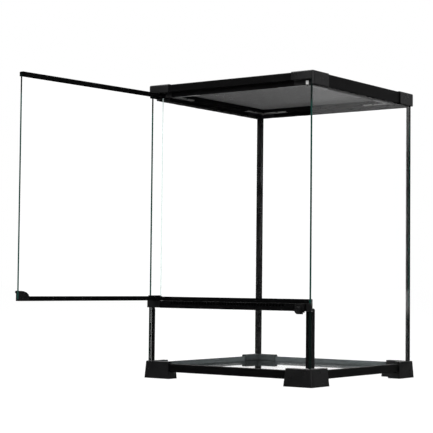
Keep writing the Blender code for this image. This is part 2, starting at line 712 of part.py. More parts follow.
# Latch: a plate with a knob slides up its guide, in front of the closed door's rail
def build_latch():
    centre = HALF_W - LATCH_FROM_SIDE
    half = LATCH_WIDTH / 2
    guide_top = BAR_LEDGE - 2 * FIT
    back = FIT + LATCH_GUIDE_BACK
    channel = half - LATCH_GUIDE_WALL
    plate_back = back + FIT
    plate_front = plate_back + LATCH_PLATE_THICKNESS
    lip_back = plate_front + FIT
    lip_front = lip_back + LATCH_LIP_THICKNESS
    opening = channel - LATCH_LIP
    outline = [
        (-half, FIT), (half, FIT), (half, lip_front), (opening, lip_front), (opening, lip_back),
        (channel, lip_back), (channel, back), (-channel, back), (-channel, lip_back),
        (-opening, lip_back), (-opening, lip_front), (-half, lip_front),
    ]
    outline = [(x, -out) for x, out in outline]
    bm = extruded(outline, guide_top - LATCH_GUIDE_HEIGHT, guide_top, 2)
    round_edges(bm, lambda at: near(abs(at.x), half) and near(at.y, -lip_front), RAIL_ROUND, 2)
    add_object("latch_guide", bm, tank, black, (centre, -HALF_D, 0))

    slide = new_empty("latch_slide_axis", tank, (centre, -HALF_D, guide_top))
    bm = box(
        (-channel + FIT, -plate_front, -FIT - LATCH_PLATE_LENGTH), (channel - FIT, -plate_back, -FIT),
    )
    plate = add_object("latch_slider", bm, slide, black)
    knob_height = -FIT - LATCH_PLATE_LENGTH + KNOB_RISE
    stem_hole = bmesh.new()
    made = bmesh.ops.create_cone(
        stem_hole, cap_ends=True, segments=16, radius1=LATCH_STEM_RADIUS + PIN_RUNNING_FIT,
        radius2=LATCH_STEM_RADIUS + PIN_RUNNING_FIT, depth=4 * plate_front,
    )
    for vert in made["verts"]:
        vert.co = (vert.co.x, vert.co.z, vert.co.y + knob_height)
    cut(plate, add_object("stem_hole", stem_hole, slide))
    neck_back = plate_front + FIT
    cap_back = lip_front + FIT
    cap_front = cap_back + KNOB_LENGTH
    profile = [
        (0, cap_front), (KNOB_RADIUS - KNOB_ROUND, cap_front),
        (KNOB_RADIUS - KNOB_ROUND * 0.3, cap_front - KNOB_ROUND * 0.3),
        (KNOB_RADIUS, cap_front - KNOB_ROUND), (KNOB_RADIUS, cap_back),
        (KNOB_NECK_RADIUS, cap_back), (KNOB_NECK_RADIUS, neck_back),
        (LATCH_STEM_RADIUS, neck_back), (LATCH_STEM_RADIUS, plate_back), (0, plate_back),
    ]
    turned("latch_knob", profile, slide, black, (0, 0, knob_height), 90)


# Door, modelled closed about its pins' axis, which then turns it open
def rail_section(low, web_top, high):
    """A U rail with its slot upwards, or downwards where high is below low."""
    half = DOOR_THICKNESS / 2
    slot = half - DOOR_RAIL_WALL
    return [
        (-half, low), (half, low), (half, high), (slot, high), (slot, web_top),
        (-slot, web_top), (-slot, high), (-half, high),
    ]


def handle_outline():
    left = DOOR_FAR - HANDLE_LENGTH
    rail_top = DOOR_FOOT + DOOR_BOTTOM_RAIL_HEIGHT
    peak = DOOR_FOOT + HANDLE_HEIGHT
    flat = HANDLE_LENGTH / 9
    points = [(left, DOOR_FOOT), (DOOR_FAR, DOOR_FOOT), (DOOR_FAR, peak)]
    steps = 8
    for step in range(steps + 1):
        angle = math.pi / 2 * step / steps
        x = DOOR_FAR - flat - (HANDLE_LENGTH - flat) * math.sin(angle)
        points.append((x, rail_top + (peak - rail_top) * math.cos(angle)))
    return points


def build_door():
    axis = new_empty("door_axis", tank, (HINGE_X, HINGE_Y, 0), -DOOR_OPEN_DEGREES)
    half = DOOR_THICKNESS / 2
    near_end = -HINGE_SETBACK
    bottom_web = DOOR_FOOT + DOOR_RAIL_WEB
    top_web = DOOR_HEAD - DOOR_RAIL_WEB
    rail_end = DOOR_FAR - HANDLE_LENGTH - FIT
    glass_low = (near_end + FIT, -GLASS_THICKNESS / 2, bottom_web + FIT)
    glass_high = (DOOR_FAR - FIT, GLASS_THICKNESS / 2, top_web - FIT)
    add_object("door_glass", box(glass_low, glass_high), axis, glass)

    outline = rail_section(DOOR_FOOT, bottom_web, DOOR_FOOT + DOOR_BOTTOM_RAIL_HEIGHT)
    bm = extruded(outline, near_end, rail_end, 0)
    round_edges(bm, lambda at: near(abs(at.y), half) and near(at.z, DOOR_FOOT), DOOR_RAIL_ROUND, 2)
    bottom_rail = add_object("door_bottom_rail", bm, axis, black)

    # its hinge end stands a little higher, and has a heel that closes the corner behind it
    rail_top = DOOR_FOOT + DOOR_BOTTOM_RAIL_HEIGHT
    for side, start in ((-1, near_end), (1, near_end + DOOR_CAP_SETBACK)):
        across = sorted((side * half, side * (half - DOOR_RAIL_WALL)))
        join(bottom_rail, add_object("hinge_cap_wall", box(
            (start, across[0], rail_top - DOOR_RAIL_WALL),
            (near_end + DOOR_CAP_LENGTH, across[1], rail_top + DOOR_CAP_RISE),
        ), axis))
    heel_back = half + DOOR_HEEL_DEPTH
    heel_reach = math.sqrt((HINGE_SWEEP - SWING_CLEARANCE) ** 2 - heel_back ** 2) - FIT
    join(bottom_rail, add_object("hinge_heel", box(
        (-heel_reach, half - DOOR_RAIL_WALL, DOOR_FOOT), (heel_reach, heel_back, BAR_TOP - FIT),
    ), axis))

    outline = rail_section(DOOR_HEAD, top_web, DOOR_HEAD - DOOR_TOP_RAIL_HEIGHT)
    bm = extruded(outline, near_end, DOOR_FAR, 0)
    round_edges(bm, lambda at: near(abs(at.y), half) and near(at.z, DOOR_HEAD), DOOR_RAIL_ROUND, 2)
    top_rail = add_object("door_top_rail", bm, axis, black)

    pin_top = RECESS_TOP + PIN_DEPTH
    pin_foot = BAR_LEDGE - PIN_DEPTH
    for rail, name, low, high in (
        (bottom_rail, "door_pin_bottom", pin_foot, bottom_web),
        (top_rail, "door_pin_top", top_web, pin_top),
    ):
        cylinder(name, PIN_RADIUS, low, high, axis, steel)
        hole = cylinder(name + "_hole", PIN_RADIUS + PIN_RUNNING_FIT, low - FIT, high + FIT, axis, None)
        cut(rail, hole)

    handle = add_object("door_handle", extruded(handle_outline(), -half, half, 1), axis, black)
    peak = DOOR_FOOT + HANDLE_HEIGHT
    lip = add_object("handle_lip", box(
        (DOOR_FAR - HANDLE_LIP_WIDTH, -half - HANDLE_LIP_REACH, peak - HANDLE_LIP_HEIGHT),
        (DOOR_FAR - FIT, -half + DOOR_RAIL_WALL / 2, peak - FIT),
    ), axis)
    low, high = grown(glass_low, glass_high, FIT)
    low[1] = -half + DOOR_RAIL_WALL
    high[0] = DOOR_FAR * 2
    high[1] = half - DOOR_RAIL_WALL
    join(handle, lip)
    cut(handle, add_object("handle_slot", box(low, high), axis))

    magnet_x = DOOR_FAR - MAGNET_FROM_END
    low = (magnet_x, half - MAGNET_THICKNESS, DOOR_HEAD - DOOR_TOP_RAIL_HEIGHT + FIT * 2)
    high = (magnet_x + MAGNET_WIDTH, half - FIT / 3, low[2] + MAGNET_HEIGHT)
    add_object("door_magnet", box(low, high), axis, steel)
    low, high = grown(low, high, FIT)
    high[1] = half + FIT
    cut(top_rail, add_object("magnet_pocket", box(low, high), axis))


# Lid: a frame with a hanging inner lip, the mesh, a ring that holds it down, corner clips
def net(size_x, size_y, low):
    bm = bmesh.new()
    bmesh.ops.create_grid(bm, x_segments=MESH_CELLS, y_segments=MESH_CELLS, size=0.5)
    for vert in bm.verts:
        vert.co.x *= size_x
        vert.co.y *= size_y
        vert.co.z = low
    holes = list(bm.faces)
    bmesh.ops.inset_individual(bm, faces=holes, thickness=MESH_STRAND / 2, use_even_offset=True)
    bmesh.ops.delete(bm, geom=holes, context="FACES")
    made = bmesh.ops.extrude_face_region(bm, geom=list(bm.faces))
    moved = [item for item in made["geom"] if isinstance(item, bmesh.types.BMVert)]
    bmesh.ops.translate(bm, verts=moved, vec=(0, 0, MESH_THICKNESS))
    return bm


def frame_box(inset, low, high):
    return box((-HALF_W + inset, -HALF_D + inset, low), (HALF_W - inset, HALF_D - inset, high))


def build_lid():
    axis = new_empty("lid_lift_axis", tank)
    bm = frame_box(LID_OUT, LID_UNDERSIDE, LID_TOP)
    round_edges(bm, lambda at: near(at.z, LID_TOP), LID_ROUND, 2)
    frame = add_object("screen_frame", bm, axis, black)
    lip = add_object("lid_lip", frame_box(LID_IN - LID_LIP_WIDTH, LIP_UNDERSIDE, LID_FLOOR_TOP - FIT), axis)
    tray = add_object("lid_tray", frame_box(LID_OUT + LID_RIM, LID_FLOOR_TOP, LID_TOP * 2), axis)
    window = add_object("lid_window", frame_box(LID_IN, 0, LID_TOP * 2), axis)
    join(frame, lip)
    cut(frame, tray, window)

    inset = LID_OUT + LID_RIM + FIT
    bm = net(TANK_WIDTH - 2 * inset, TANK_DEPTH - 2 * inset, MESH_UNDERSIDE)
    add_object("screen_mesh", bm, axis, steel)

    low = MESH_UNDERSIDE + MESH_THICKNESS + FIT
    bm = frame_box(inset, low, low + RETAINER_HEIGHT)
    round_edges(bm, lambda at: near(at.z, low + RETAINER_HEIGHT), LID_ROUND, 2)
    retainer = add_object("screen_retainer", bm, axis, black)
    cut(retainer, window)

    top = LIP_UNDERSIDE - FIT
    inner = LID_IN + FIT
    outer = inner - CLIP_WIDTH
    flange = inner + CLIP_THICKNESS
    for name, (sx, sy, turn) in CORNERS.items():
        place = (sx * HALF_W, sy * HALF_D, 0)
        end = LID_IN + CLIP_ARM
        outline = [
            (outer, outer), (end, outer), (end, flange), (flange, flange), (flange, end), (outer, end),
        ]
        bm = extruded(outline, top - CLIP_THICKNESS, top + CLIP_TURN_UP, 2)
        clip = add_object("screen_clip_" + name, bm, axis, steel, place, turn)
        relief = [(0, 0), (end * 2, 0), (end * 2, inner), (inner, inner), (inner, end * 2), (0, end * 2)]
        lip_space = extruded(relief, top, TANK_HEIGHT, 2)
        over = add_object("clip_relief_" + name, lip_space, axis, None, place, turn)
        notch_low = LID_IN + CLIP_NOTCH_FROM_CORNER
        notch_high = notch_low + CLIP_NOTCH
        notches = box((notch_low, inner - FIT, top), (notch_high, flange + FIT, TANK_HEIGHT))
        add_box(notches, (inner - FIT, notch_low, top), (flange + FIT, notch_high, TANK_HEIGHT))
        gap = add_object("clip_notch_" + name, notches, axis, None, place, turn)
        screw_at = outer + SCREW_FROM_CORNER
        spot = (sx * (HALF_W - screw_at), sy * (HALF_D - screw_at), 0)
        head = top - CLIP_THICKNESS - FIT
        profile = [
            (0, top + SCREW_SHANK), (SCREW_SHANK_RADIUS, top + SCREW_SHANK),
            (SCREW_SHANK_RADIUS, head), (SCREW_RADIUS, head),
            (SCREW_RADIUS * 0.8, head - SCREW_HEAD * 0.8), (0, head - SCREW_HEAD),
        ]
        turned("clip_screw_" + name, profile, axis, steel, spot, 0, 16)
        hole_axis = new_empty("clip_hole_axis_" + name, axis, spot)
        hole = cylinder(
            "clip_hole_" + name, SCREW_SHANK_RADIUS + FIT, head - SCREW_HEAD, top + SCREW_SHANK + FIT,
            hole_axis, None, 16,
        )
        cut(clip, over, gap, hole)
        cut(frame, hole)


def shade_round_pieces():
    for obj in parts.objects:
        if obj.type == "MESH":
            obj.data.shade_smooth()
            obj.data.set_sharp_from_angle(angle=math.radians(35))


clear_scene()
parts = new_collection("glass_terrarium")
cutters = new_collection("cutters")
black = new_material("black_moulding", (0.011, 0.011, 0.012), 0.42)
glass = new_material("clear_glass", (0.86, 0.95, 0.92), 0.02, transmission=1.0)
steel = new_material("stainless_steel", (0.55, 0.55, 0.54), 0.3, metallic=1.0)
tank = new_empty("tank_centre", None, (HALF_W - FOOT_CENTRE, HALF_D - FOOT_CENTRE, 0))
pane_slots = build_glass()
build_base(pane_slots)
build_top(pane_slots)
build_strips()
build_vent_bar(pane_slots)
build_latch()
build_door()
build_lid()
shade_round_pieces()
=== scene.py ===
import json
import math

import bmesh
import bpy
from mathutils import Matrix, Vector, noise

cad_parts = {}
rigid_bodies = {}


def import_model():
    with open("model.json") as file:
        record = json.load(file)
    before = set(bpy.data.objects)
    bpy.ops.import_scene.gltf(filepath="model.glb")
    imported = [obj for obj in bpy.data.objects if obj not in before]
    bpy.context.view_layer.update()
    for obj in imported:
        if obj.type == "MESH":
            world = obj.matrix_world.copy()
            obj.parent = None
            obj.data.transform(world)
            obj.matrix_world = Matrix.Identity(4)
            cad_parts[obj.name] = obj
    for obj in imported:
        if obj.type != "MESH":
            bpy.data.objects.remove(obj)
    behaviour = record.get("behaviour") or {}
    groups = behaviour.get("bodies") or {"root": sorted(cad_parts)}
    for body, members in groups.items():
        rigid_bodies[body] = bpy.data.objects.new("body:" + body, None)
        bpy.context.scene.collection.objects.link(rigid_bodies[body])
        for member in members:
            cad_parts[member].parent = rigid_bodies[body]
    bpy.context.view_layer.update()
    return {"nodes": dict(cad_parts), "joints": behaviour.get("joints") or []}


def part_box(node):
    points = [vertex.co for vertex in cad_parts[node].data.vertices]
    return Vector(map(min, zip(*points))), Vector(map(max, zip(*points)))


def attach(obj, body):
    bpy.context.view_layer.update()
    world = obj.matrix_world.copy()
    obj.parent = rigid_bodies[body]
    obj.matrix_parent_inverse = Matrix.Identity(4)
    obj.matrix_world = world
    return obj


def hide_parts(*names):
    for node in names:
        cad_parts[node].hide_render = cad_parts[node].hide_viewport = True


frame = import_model()
nodes = frame["nodes"]
print("frame loaded:", len(nodes), "nodes")

# places taken from the frame
corners = ("front_left", "front_right", "back_right", "back_left")
sides = ("front", "right", "back", "left")
leftBox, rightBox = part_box("left_glass"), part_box("right_glass")
tankMiddle = Vector(((leftBox[0].x + rightBox[1].x) / 2, (leftBox[0].y + leftBox[1].y) / 2, 0))
doorJoint = next(j for j in frame["joints"] if j["name"] == "door_hinge")
doorTurn = math.radians(doorJoint["range_deg"][0])        # closed to open, seen from above
doorPivot = Vector((doorJoint["pos_m"][0], doorJoint["pos_m"][1], 0))
doorPlace = Matrix.Translation(doorPivot) @ Matrix.Rotation(doorTurn, 4, "Z")


# helpers for node trees
def addNode(tree, kind, **values):
    node = tree.nodes.new(kind)
    for key, value in values.items():
        if key.startswith("in_"):
            node.inputs[key[3:].replace("_", " ")].default_value = value
        else:
            setattr(node, key, value)
    return node


def wire(tree, source, target):
    tree.links.new(source, target)


def newGroup(name, inputs, outputs):
    group = bpy.data.node_groups.new(name, "ShaderNodeTree")
    group.interface.new_socket("Vector", in_out="INPUT", socket_type="NodeSocketVector")
    for label, value in inputs.items():
        socket = group.interface.new_socket(label, in_out="INPUT", socket_type="NodeSocketFloat")
        socket.default_value = value
    for label in outputs:
        group.interface.new_socket(label, in_out="OUTPUT", socket_type="NodeSocketFloat")
    return group, group.nodes.new("NodeGroupInput").outputs, group.nodes.new("NodeGroupOutput").inputs


def useGroup(tree, group, place, **values):
    node = tree.nodes.new("ShaderNodeGroup")
    node.node_tree = group
    for key, value in values.items():
        node.inputs[key.replace("_", " ")].default_value = value
    wire(tree, place, node.inputs["Vector"])
    return node.outputs


def maths(tree, operation, first, second=0.0, clamp=False):
    node = addNode(tree, "ShaderNodeMath", operation=operation, use_clamp=clamp)
    for index, value in enumerate((first, second)):
        if isinstance(value, (int, float)):
            node.inputs[index].default_value = value
        else:
            wire(tree, value, node.inputs[index])
    return node.outputs[0]


def mapRange(tree, value, low, high, toLow, toHigh):
    node = addNode(tree, "ShaderNodeMapRange")
    wire(tree, value, node.inputs["Value"])
    for name, number in (("From Min", low), ("From Max", high), ("To Min", toLow), ("To Max", toHigh)):
        node.inputs[name].default_value = number
    return node.outputs["Result"]


def mixColour(tree, factor, first, second):
    node = addNode(tree, "ShaderNodeMix", data_type="RGBA")
    wire(tree, factor, node.inputs[0])
    for index, value in ((6, first), (7, second)):
        if isinstance(value, tuple):
            node.inputs[index].default_value = value
        else:
            wire(tree, value, node.inputs[index])
    return node.outputs[2]


def noiseNode(tree, place, scale, detail=2.0, rough=0.5):
    node = addNode(tree, "ShaderNodeTexNoise", in_Detail=detail, in_Roughness=rough)
    wire(tree, place, node.inputs["Vector"])
    if isinstance(scale, (int, float)):
        node.inputs["Scale"].default_value = scale
    else:
        wire(tree, scale, node.inputs["Scale"])
    return node.outputs["Fac"]


def weighed(tree, first, second, share):
    return maths(tree, "ADD", maths(tree, "MULTIPLY", first, share[0]),
                 maths(tree, "MULTIPLY", second, share[1]))


# surface effects that several materials share; a pair is where an effect starts and is full
mould = {"grain": 2600.0, "pits": 0.45, "finePits": (0.7, 0.3), "flow": 40.0, "tone": (0.3, 0.7),
         "patches": 120.0, "rub": (0.58, 0.74)}


def makeMouldGrain():
    group, take, give = newGroup(
        "mouldGrain", {"Grain": mould["grain"], "Flow": mould["flow"]}, ("Height", "Tone", "Rub"))
    fine = noiseNode(group, take["Vector"], take["Grain"], 3.0, 0.6)
    pits = addNode(group, "ShaderNodeTexVoronoi", feature="F1")
    wire(group, take["Vector"], pits.inputs["Vector"])
    wire(group, maths(group, "MULTIPLY", take["Grain"], mould["pits"]), pits.inputs["Scale"])
    wire(group, weighed(group, fine, pits.outputs["Distance"], mould["finePits"]), give["Height"])
    flow = noiseNode(group, take["Vector"], take["Flow"], 3.0)
    wire(group, mapRange(group, flow, *mould["tone"], 0.0, 1.0), give["Tone"])
    patches = noiseNode(group, take["Vector"], mould["patches"], 4.0, 0.7)
    wire(group, mapRange(group, patches, *mould["rub"], 0.0, 1.0), give["Rub"])
    return group


drawing = {"fineness": 3200.0, "broad": 0.16, "fineBroad": (0.6, 0.4), "streak": (0.35, 0.65)}


def makeDieLines():
    group, take, give = newGroup("dieLines", {"Fineness": drawing["fineness"]}, ("Height", "Streak"))
    fine = noiseNode(group, take["Vector"], take["Fineness"], 2.0, 0.7)
    wide = maths(group, "MULTIPLY", take["Fineness"], drawing["broad"])
    broad = noiseNode(group, take["Vector"], wide, 2.0)
    wire(group, weighed(group, fine, broad, drawing["fineBroad"]), give["Height"])
    wire(group, mapRange(group, broad, *drawing["streak"], 0.0, 1.0), give["Streak"])
    return group


settling = {"amount": 0.5, "speck": 900.0, "specks": (0.68, 0.74), "film": 28.0, "films": (0.35, 0.75),
            "filmShows": 0.6, "level": (0.35, 0.95)}


def makeSettledDust():
    group, take, give = newGroup(
        "settledDust", {"Amount": settling["amount"], "Speck": settling["speck"]}, ("Mask",))
    up = addNode(group, "ShaderNodeSeparateXYZ")
    wire(group, group.nodes.new("ShaderNodeNewGeometry").outputs["Normal"], up.inputs[0])
    lies = mapRange(group, up.outputs["Z"], *settling["level"], 0.0, 1.0)
    film = noiseNode(group, take["Vector"], settling["film"], 4.0, 0.6)
    film = mapRange(group, film, *settling["films"], 0.0, settling["filmShows"])
    specks = noiseNode(group, take["Vector"], take["Speck"], 1.0)
    specks = mapRange(group, specks, *settling["specks"], 0.0, 1.0)
    lying = maths(group, "MULTIPLY", maths(group, "MAXIMUM", film, specks), lies)
    wire(group, maths(group, "MULTIPLY", lying, take["Amount"], True), give["Mask"])
    return group


# matt from where a face's normal leans this far up or down
matting = {"rough": 0.95, "leans": (0.4, 0.8)}


def makeMattUnder():
    group, take, give = newGroup("mattUnder", {"Rough": matting["rough"], "Tops": 0.0}, ("Roughness",))
    start, full = matting["leans"]
    down = addNode(group, "ShaderNodeSeparateXYZ")
    wire(group, group.nodes.new("ShaderNodeNewGeometry").outputs["Normal"], down.inputs[0])
    under = mapRange(group, down.outputs["Z"], -start, -full, 0.0, 1.0)
    above = mapRange(group, down.outputs["Z"], start, full, 0.0, 1.0)
    above = maths(group, "MULTIPLY", above, take["Tops"])
    matt = maths(group, "MAXIMUM", under, above)
    wire(group, maths(group, "MULTIPLY", matt, take["Rough"]), give["Roughness"])
    return group


# 1 on upright faces that look towards the middle of the tank, the mask for the painted reflection inside
# the base
innerFrom = (0.05, 0.10)


def makeInnerFaces():
    group, take, give = newGroup("innerFaces", {}, ("Mask",))
    toMiddle = addNode(group, "ShaderNodeVectorMath", operation="SUBTRACT")
    toMiddle.inputs[0].default_value = (tankMiddle.x, tankMiddle.y, 0)
    wire(group, take["Vector"], toMiddle.inputs[1])
    flat = addNode(group, "ShaderNodeVectorMath", operation="MULTIPLY")
    wire(group, toMiddle.outputs[0], flat.inputs[0])
    flat.inputs[1].default_value = (1, 1, 0)
    along = addNode(group, "ShaderNodeVectorMath", operation="DOT_PRODUCT")
    wire(group, flat.outputs[0], along.inputs[0])
    wire(group, group.nodes.new("ShaderNodeNewGeometry").outputs["Normal"], along.inputs[1])
    wire(group, mapRange(group, along.outputs["Value"], *innerFrom, 0.0, 1.0), give["Mask"])
    return group


wiping = {"size": 9.0, "smear": (0.5, 0.72), "curls": 14.0, "curlBy": 0.05}


def makeHandSmears():
    group, take, give = newGroup("handSmears", {"Size": wiping["size"]}, ("Smear",))
    warp = addNode(group, "ShaderNodeTexNoise", in_Scale=wiping["curls"], in_Detail=2.0)
    wire(group, take["Vector"], warp.inputs["Vector"])
    move = addNode(group, "ShaderNodeVectorMath", operation="SCALE", in_Scale=wiping["curlBy"])
    wire(group, warp.outputs["Color"], move.inputs[0])
    shifted = addNode(group, "ShaderNodeVectorMath", operation="ADD")
    wire(group, take["Vector"], shifted.inputs[0])
    wire(group, move.outputs[0], shifted.inputs[1])
    smear = noiseNode(group, shifted.outputs[0], take["Size"], 5.0, 0.6)
    wire(group, mapRange(group, smear, *wiping["smear"], 0.0, 1.0), give["Smear"])
    return group


mouldGrain = makeMouldGrain()
dieLines = makeDieLines()
settledDust = makeSettledDust()
mattUnder = makeMattUnder()
innerFaces = makeInnerFaces()
handSmears = makeHandSmears()
print("surface effects ready")


# materials
def newMaterial(name, **values):
    material = bpy.data.materials.new(name)
    material.use_nodes = True
    tree = material.node_tree
    shader = tree.nodes["Principled BSDF"]
    for key, value in values.items():
        shader.inputs[key.replace("_", " ")].default_value = value
    place = addNode(tree, "ShaderNodeTexCoord").outputs["Object"]
    return material, tree, shader, place


def mapped(tree, place, scale, turn=0.0):
    node = addNode(tree, "ShaderNodeMapping", vector_type="TEXTURE")
    node.inputs["Rotation"].default_value = (0, 0, turn)
    node.inputs["Scale"].default_value = scale
    wire(tree, place, node.inputs["Vector"])
    return node.outputs[0]


def bumpFrom(tree, shader, height, depth):
    node = addNode(tree, "ShaderNodeBump", in_Distance=depth, in_Strength=1.0)
    wire(tree, height, node.inputs["Height"])
    wire(tree, node.outputs[0], shader.inputs["Normal"])


mouldedLook = {"dark": (0.0042, 0.0042, 0.0045, 1), "pale": (0.0068, 0.0068, 0.0072, 1),
               "rough": (0.26, 0.36), "shine": 0.36, "grainDepth": 0.00004, "dust": 0.04, "tops": 0.0}
# its inner colour is a painted reflection, a paler colour for the inside faces
footLook = {**mouldedLook, "inner": (0.040, 0.046, 0.047, 1)}
fineLook = {**mouldedLook, "rough": (0.34, 0.46), "shine": 0.25, "tops": 1.0}
lidLook = {"dark": (0.0014, 0.0014, 0.0015, 1), "pale": (0.0022, 0.0022, 0.0024, 1),
           "rough": (0.50, 0.62), "shine": 0.02, "grainDepth": 0.00005, "dust": 0.03, "tops": 0.0}
extrudedLook = {"dark": (0.0012, 0.0012, 0.0013, 1), "pale": (0.0022, 0.0022, 0.0024, 1),
                "rough": (0.30, 0.42), "shine": 0.08, "grain": 1500.0, "lineDepth": 0.00003,
                "dust": 0.03, "tops": 0.0}
# its inner colour is a painted reflection, a paler colour for the inside faces
baseRailLook = {**extrudedLook, "shine": 0.12, "inner": (0.074, 0.084, 0.086, 1)}
postLook = {"dark": (0.0006, 0.0006, 0.0007, 1), "pale": (0.0012, 0.0012, 0.0013, 1),
            "rough": (0.34, 0.46), "shine": 0.05, "grain": 1500.0, "lineDepth": 0.00001,
            "dust": 0.02, "tops": 0.0}
siliconeLook = {"dark": (0.0035, 0.0035, 0.0036, 1), "pale": (0.006, 0.006, 0.006, 1), "rough": 0.24,
                "uneven": 0.12, "grain": 300.0, "flow": 90.0, "depth": 0.0003, "shine": 0.4}
dust = {"colour": (0.19, 0.18, 0.165, 1), "rougher": 0.3}
rub = {"colour": (0.020, 0.020, 0.021, 1), "shows": 0.2, "onMoulded": -0.08, "onExtruded": -0.06}


# painted reflection: the base's inside faces are given a paler colour for the light they mirror
def paintInsideReflection(tree, place, colour, look):
    if "inner" not in look:
        return colour
    return mixColour(tree, useGroup(tree, innerFaces, place)["Mask"], colour, look["inner"])


# what every black plastic has: patches worn by rubbing, dust, and a matt underside; the base pieces also
# get a painted reflection on their inside faces
def finishBlack(tree, shader, place, look, skin, tone, rubbedRough):
    dirt = useGroup(tree, settledDust, place, Amount=look["dust"])["Mask"]
    rubbedAndReflected = mixColour(tree, maths(tree, "MULTIPLY", skin["Rub"], rub["shows"]), tone, rub["colour"])
    # painted reflection: the base's inside faces are coloured paler here
    rubbedAndReflected = paintInsideReflection(tree, place, rubbedAndReflected, look)
    wire(tree, mixColour(tree, dirt, rubbedAndReflected, dust["colour"]), shader.inputs["Base Color"])
    plain = mapRange(tree, skin["Tone"], 0.0, 1.0, look["rough"][0], look["rough"][1])
    rough = maths(tree, "ADD", plain, maths(tree, "MULTIPLY", skin["Rub"], rubbedRough))
    dusty = maths(tree, "ADD", rough, maths(tree, "MULTIPLY", dirt, dust["rougher"]), True)
    under = useGroup(tree, mattUnder, place, Tops=look["tops"])["Roughness"]
    wire(tree, maths(tree, "MAXIMUM", dusty, under), shader.inputs["Roughness"])


def makeMouldedBlack(name, grain=2600.0, look=mouldedLook):
    material, tree, shader, place = newMaterial(name, Specular_IOR_Level=look["shine"])
    skin = useGroup(tree, mouldGrain, place, Grain=grain)
    tone = mixColour(tree, skin["Tone"], look["dark"], look["pale"])
    finishBlack(tree, shader, place, look, skin, tone, rub["onMoulded"])
    bumpFrom(tree, shader, skin["Height"], look["grainDepth"])
    return material


# run says how far the die lines are drawn out along X, Y and Z
def makeExtrudedBlack(name, run, turn=0.0, look=extrudedLook):
    material, tree, shader, place = newMaterial(name, Specular_IOR_Level=look["shine"])
    lines = useGroup(tree, dieLines, mapped(tree, place, run, turn))
    skin = useGroup(tree, mouldGrain, place, Grain=look["grain"])
    tone = mixColour(tree, lines["Streak"], look["dark"], look["pale"])
    finishBlack(tree, shader, place, look, skin, tone, rub["onExtruded"])
    bumpFrom(tree, shader, lines["Height"], look["lineDepth"])
    return material


def makeSilicone(look=siliconeLook):
    material, tree, shader, place = newMaterial("blackSilicone", Specular_IOR_Level=look["shine"])
    skin = useGroup(tree, mouldGrain, place, Grain=look["grain"], Flow=look["flow"])
    wire(tree, mixColour(tree, skin["Tone"], look["dark"], look["pale"]), shader.inputs["Base Color"])
    rough = mapRange(tree, skin["Tone"], 0.0, 1.0, look["rough"], look["rough"] + look["uneven"])
    wire(tree, rough, shader.inputs["Roughness"])
    bumpFrom(tree, shader, skin["Height"], look["depth"])
    return material


paneLook = {"tint": (0.997, 1.0, 0.999, 1), "smear": 0.012, "bends": 1.2}
floorPaneLook = {"tint": (0.990, 1.0, 0.996, 1), "smear": 0.012, "bends": 1.5}
# the near-black edge colour and the heights where it starts are a painted reflection of the black
# plastic beside the edge
edgeLook = {"deep": (0.003, 0.022, 0.018, 1), "bright": (0.016, 0.072, 0.058, 1), "rough": 0.16,
            "shine": 0.2, "paintedReflection": (0.0020, 0.0075, 0.0062, 1), "paintedReflectionBelow": 0.108, "belowFades": 0.004,
            "paintedReflectionAbove": 0.404, "aboveFades": 0.006}


def letLampsThrough(tree, shader):
    clear = addNode(tree, "ShaderNodeBsdfTransparent")
    choose = addNode(tree, "ShaderNodeMixShader")
    wire(tree, addNode(tree, "ShaderNodeLightPath").outputs["Is Shadow Ray"], choose.inputs[0])
    wire(tree, shader.outputs[0], choose.inputs[1])
    wire(tree, clear.outputs[0], choose.inputs[2])
    wire(tree, choose.outputs[0], tree.nodes["Material Output"].inputs["Surface"])


def makePaneGlass(name, look):
    material, tree, shader, place = newMaterial(
        name, Base_Color=look["tint"], Transmission_Weight=1.0, IOR=look["bends"])
    smear = useGroup(tree, handSmears, place)["Smear"]
    wire(tree, maths(tree, "MULTIPLY", smear, look["smear"]), shader.inputs["Roughness"])
    letLampsThrough(tree, shader)
    return material


# how the wheel leaves a pane's edge: long soft bands, and fine scratches along it
grinding = {"bandDrawn": 14, "bands": 60.0, "band": (0.32, 0.68), "scratchDrawn": 30,
            "scratches": 2600.0, "scratch": (0.3, 0.7), "uneven": 0.14, "depth": 0.00002}


def edgeBands(tree, place, look):
    drawn = mapped(tree, place, (1, 1, grinding["bandDrawn"]))
    band = noiseNode(tree, drawn, grinding["bands"], 4.0, 0.6)
    band = mapRange(tree, band, *grinding["band"], 0.0, 1.0)
    return mixColour(tree, band, look["deep"], look["bright"])


def edgeScratches(tree, shader, place, look):
    drawn = mapped(tree, place, (1, 1, grinding["scratchDrawn"]))
    fine = noiseNode(tree, drawn, grinding["scratches"], 2.0, 0.7)
    rough = mapRange(tree, fine, *grinding["scratch"], look["rough"], look["rough"] + grinding["uneven"])
    wire(tree, rough, shader.inputs["Roughness"])
    return fine


def makePaneEdge(look=edgeLook):
    material, tree, shader, place = newMaterial("groundPaneEdge", Specular_IOR_Level=look["shine"])
    green = edgeBands(tree, place, look)
    height = addNode(tree, "ShaderNodeSeparateXYZ")
    wire(tree, place, height.inputs[0])
    below, above = look["paintedReflectionBelow"], look["paintedReflectionAbove"]
    low = mapRange(tree, height.outputs["Z"], below, below + look["belowFades"], 1.0, 0.0)
    high = mapRange(tree, height.outputs["Z"], above, above + look["aboveFades"], 0.0, 1.0)
    # painted reflection: below and above these heights the edge is coloured near black, for the black
    # plastic that shows in it there
    paintedReflection = mixColour(tree, maths(tree, "MAXIMUM", low, high), green, look["paintedReflection"])
    wire(tree, paintedReflection, shader.inputs["Base Color"])
    bumpFrom(tree, shader, edgeScratches(tree, shader, place, look), grinding["depth"])
    return material


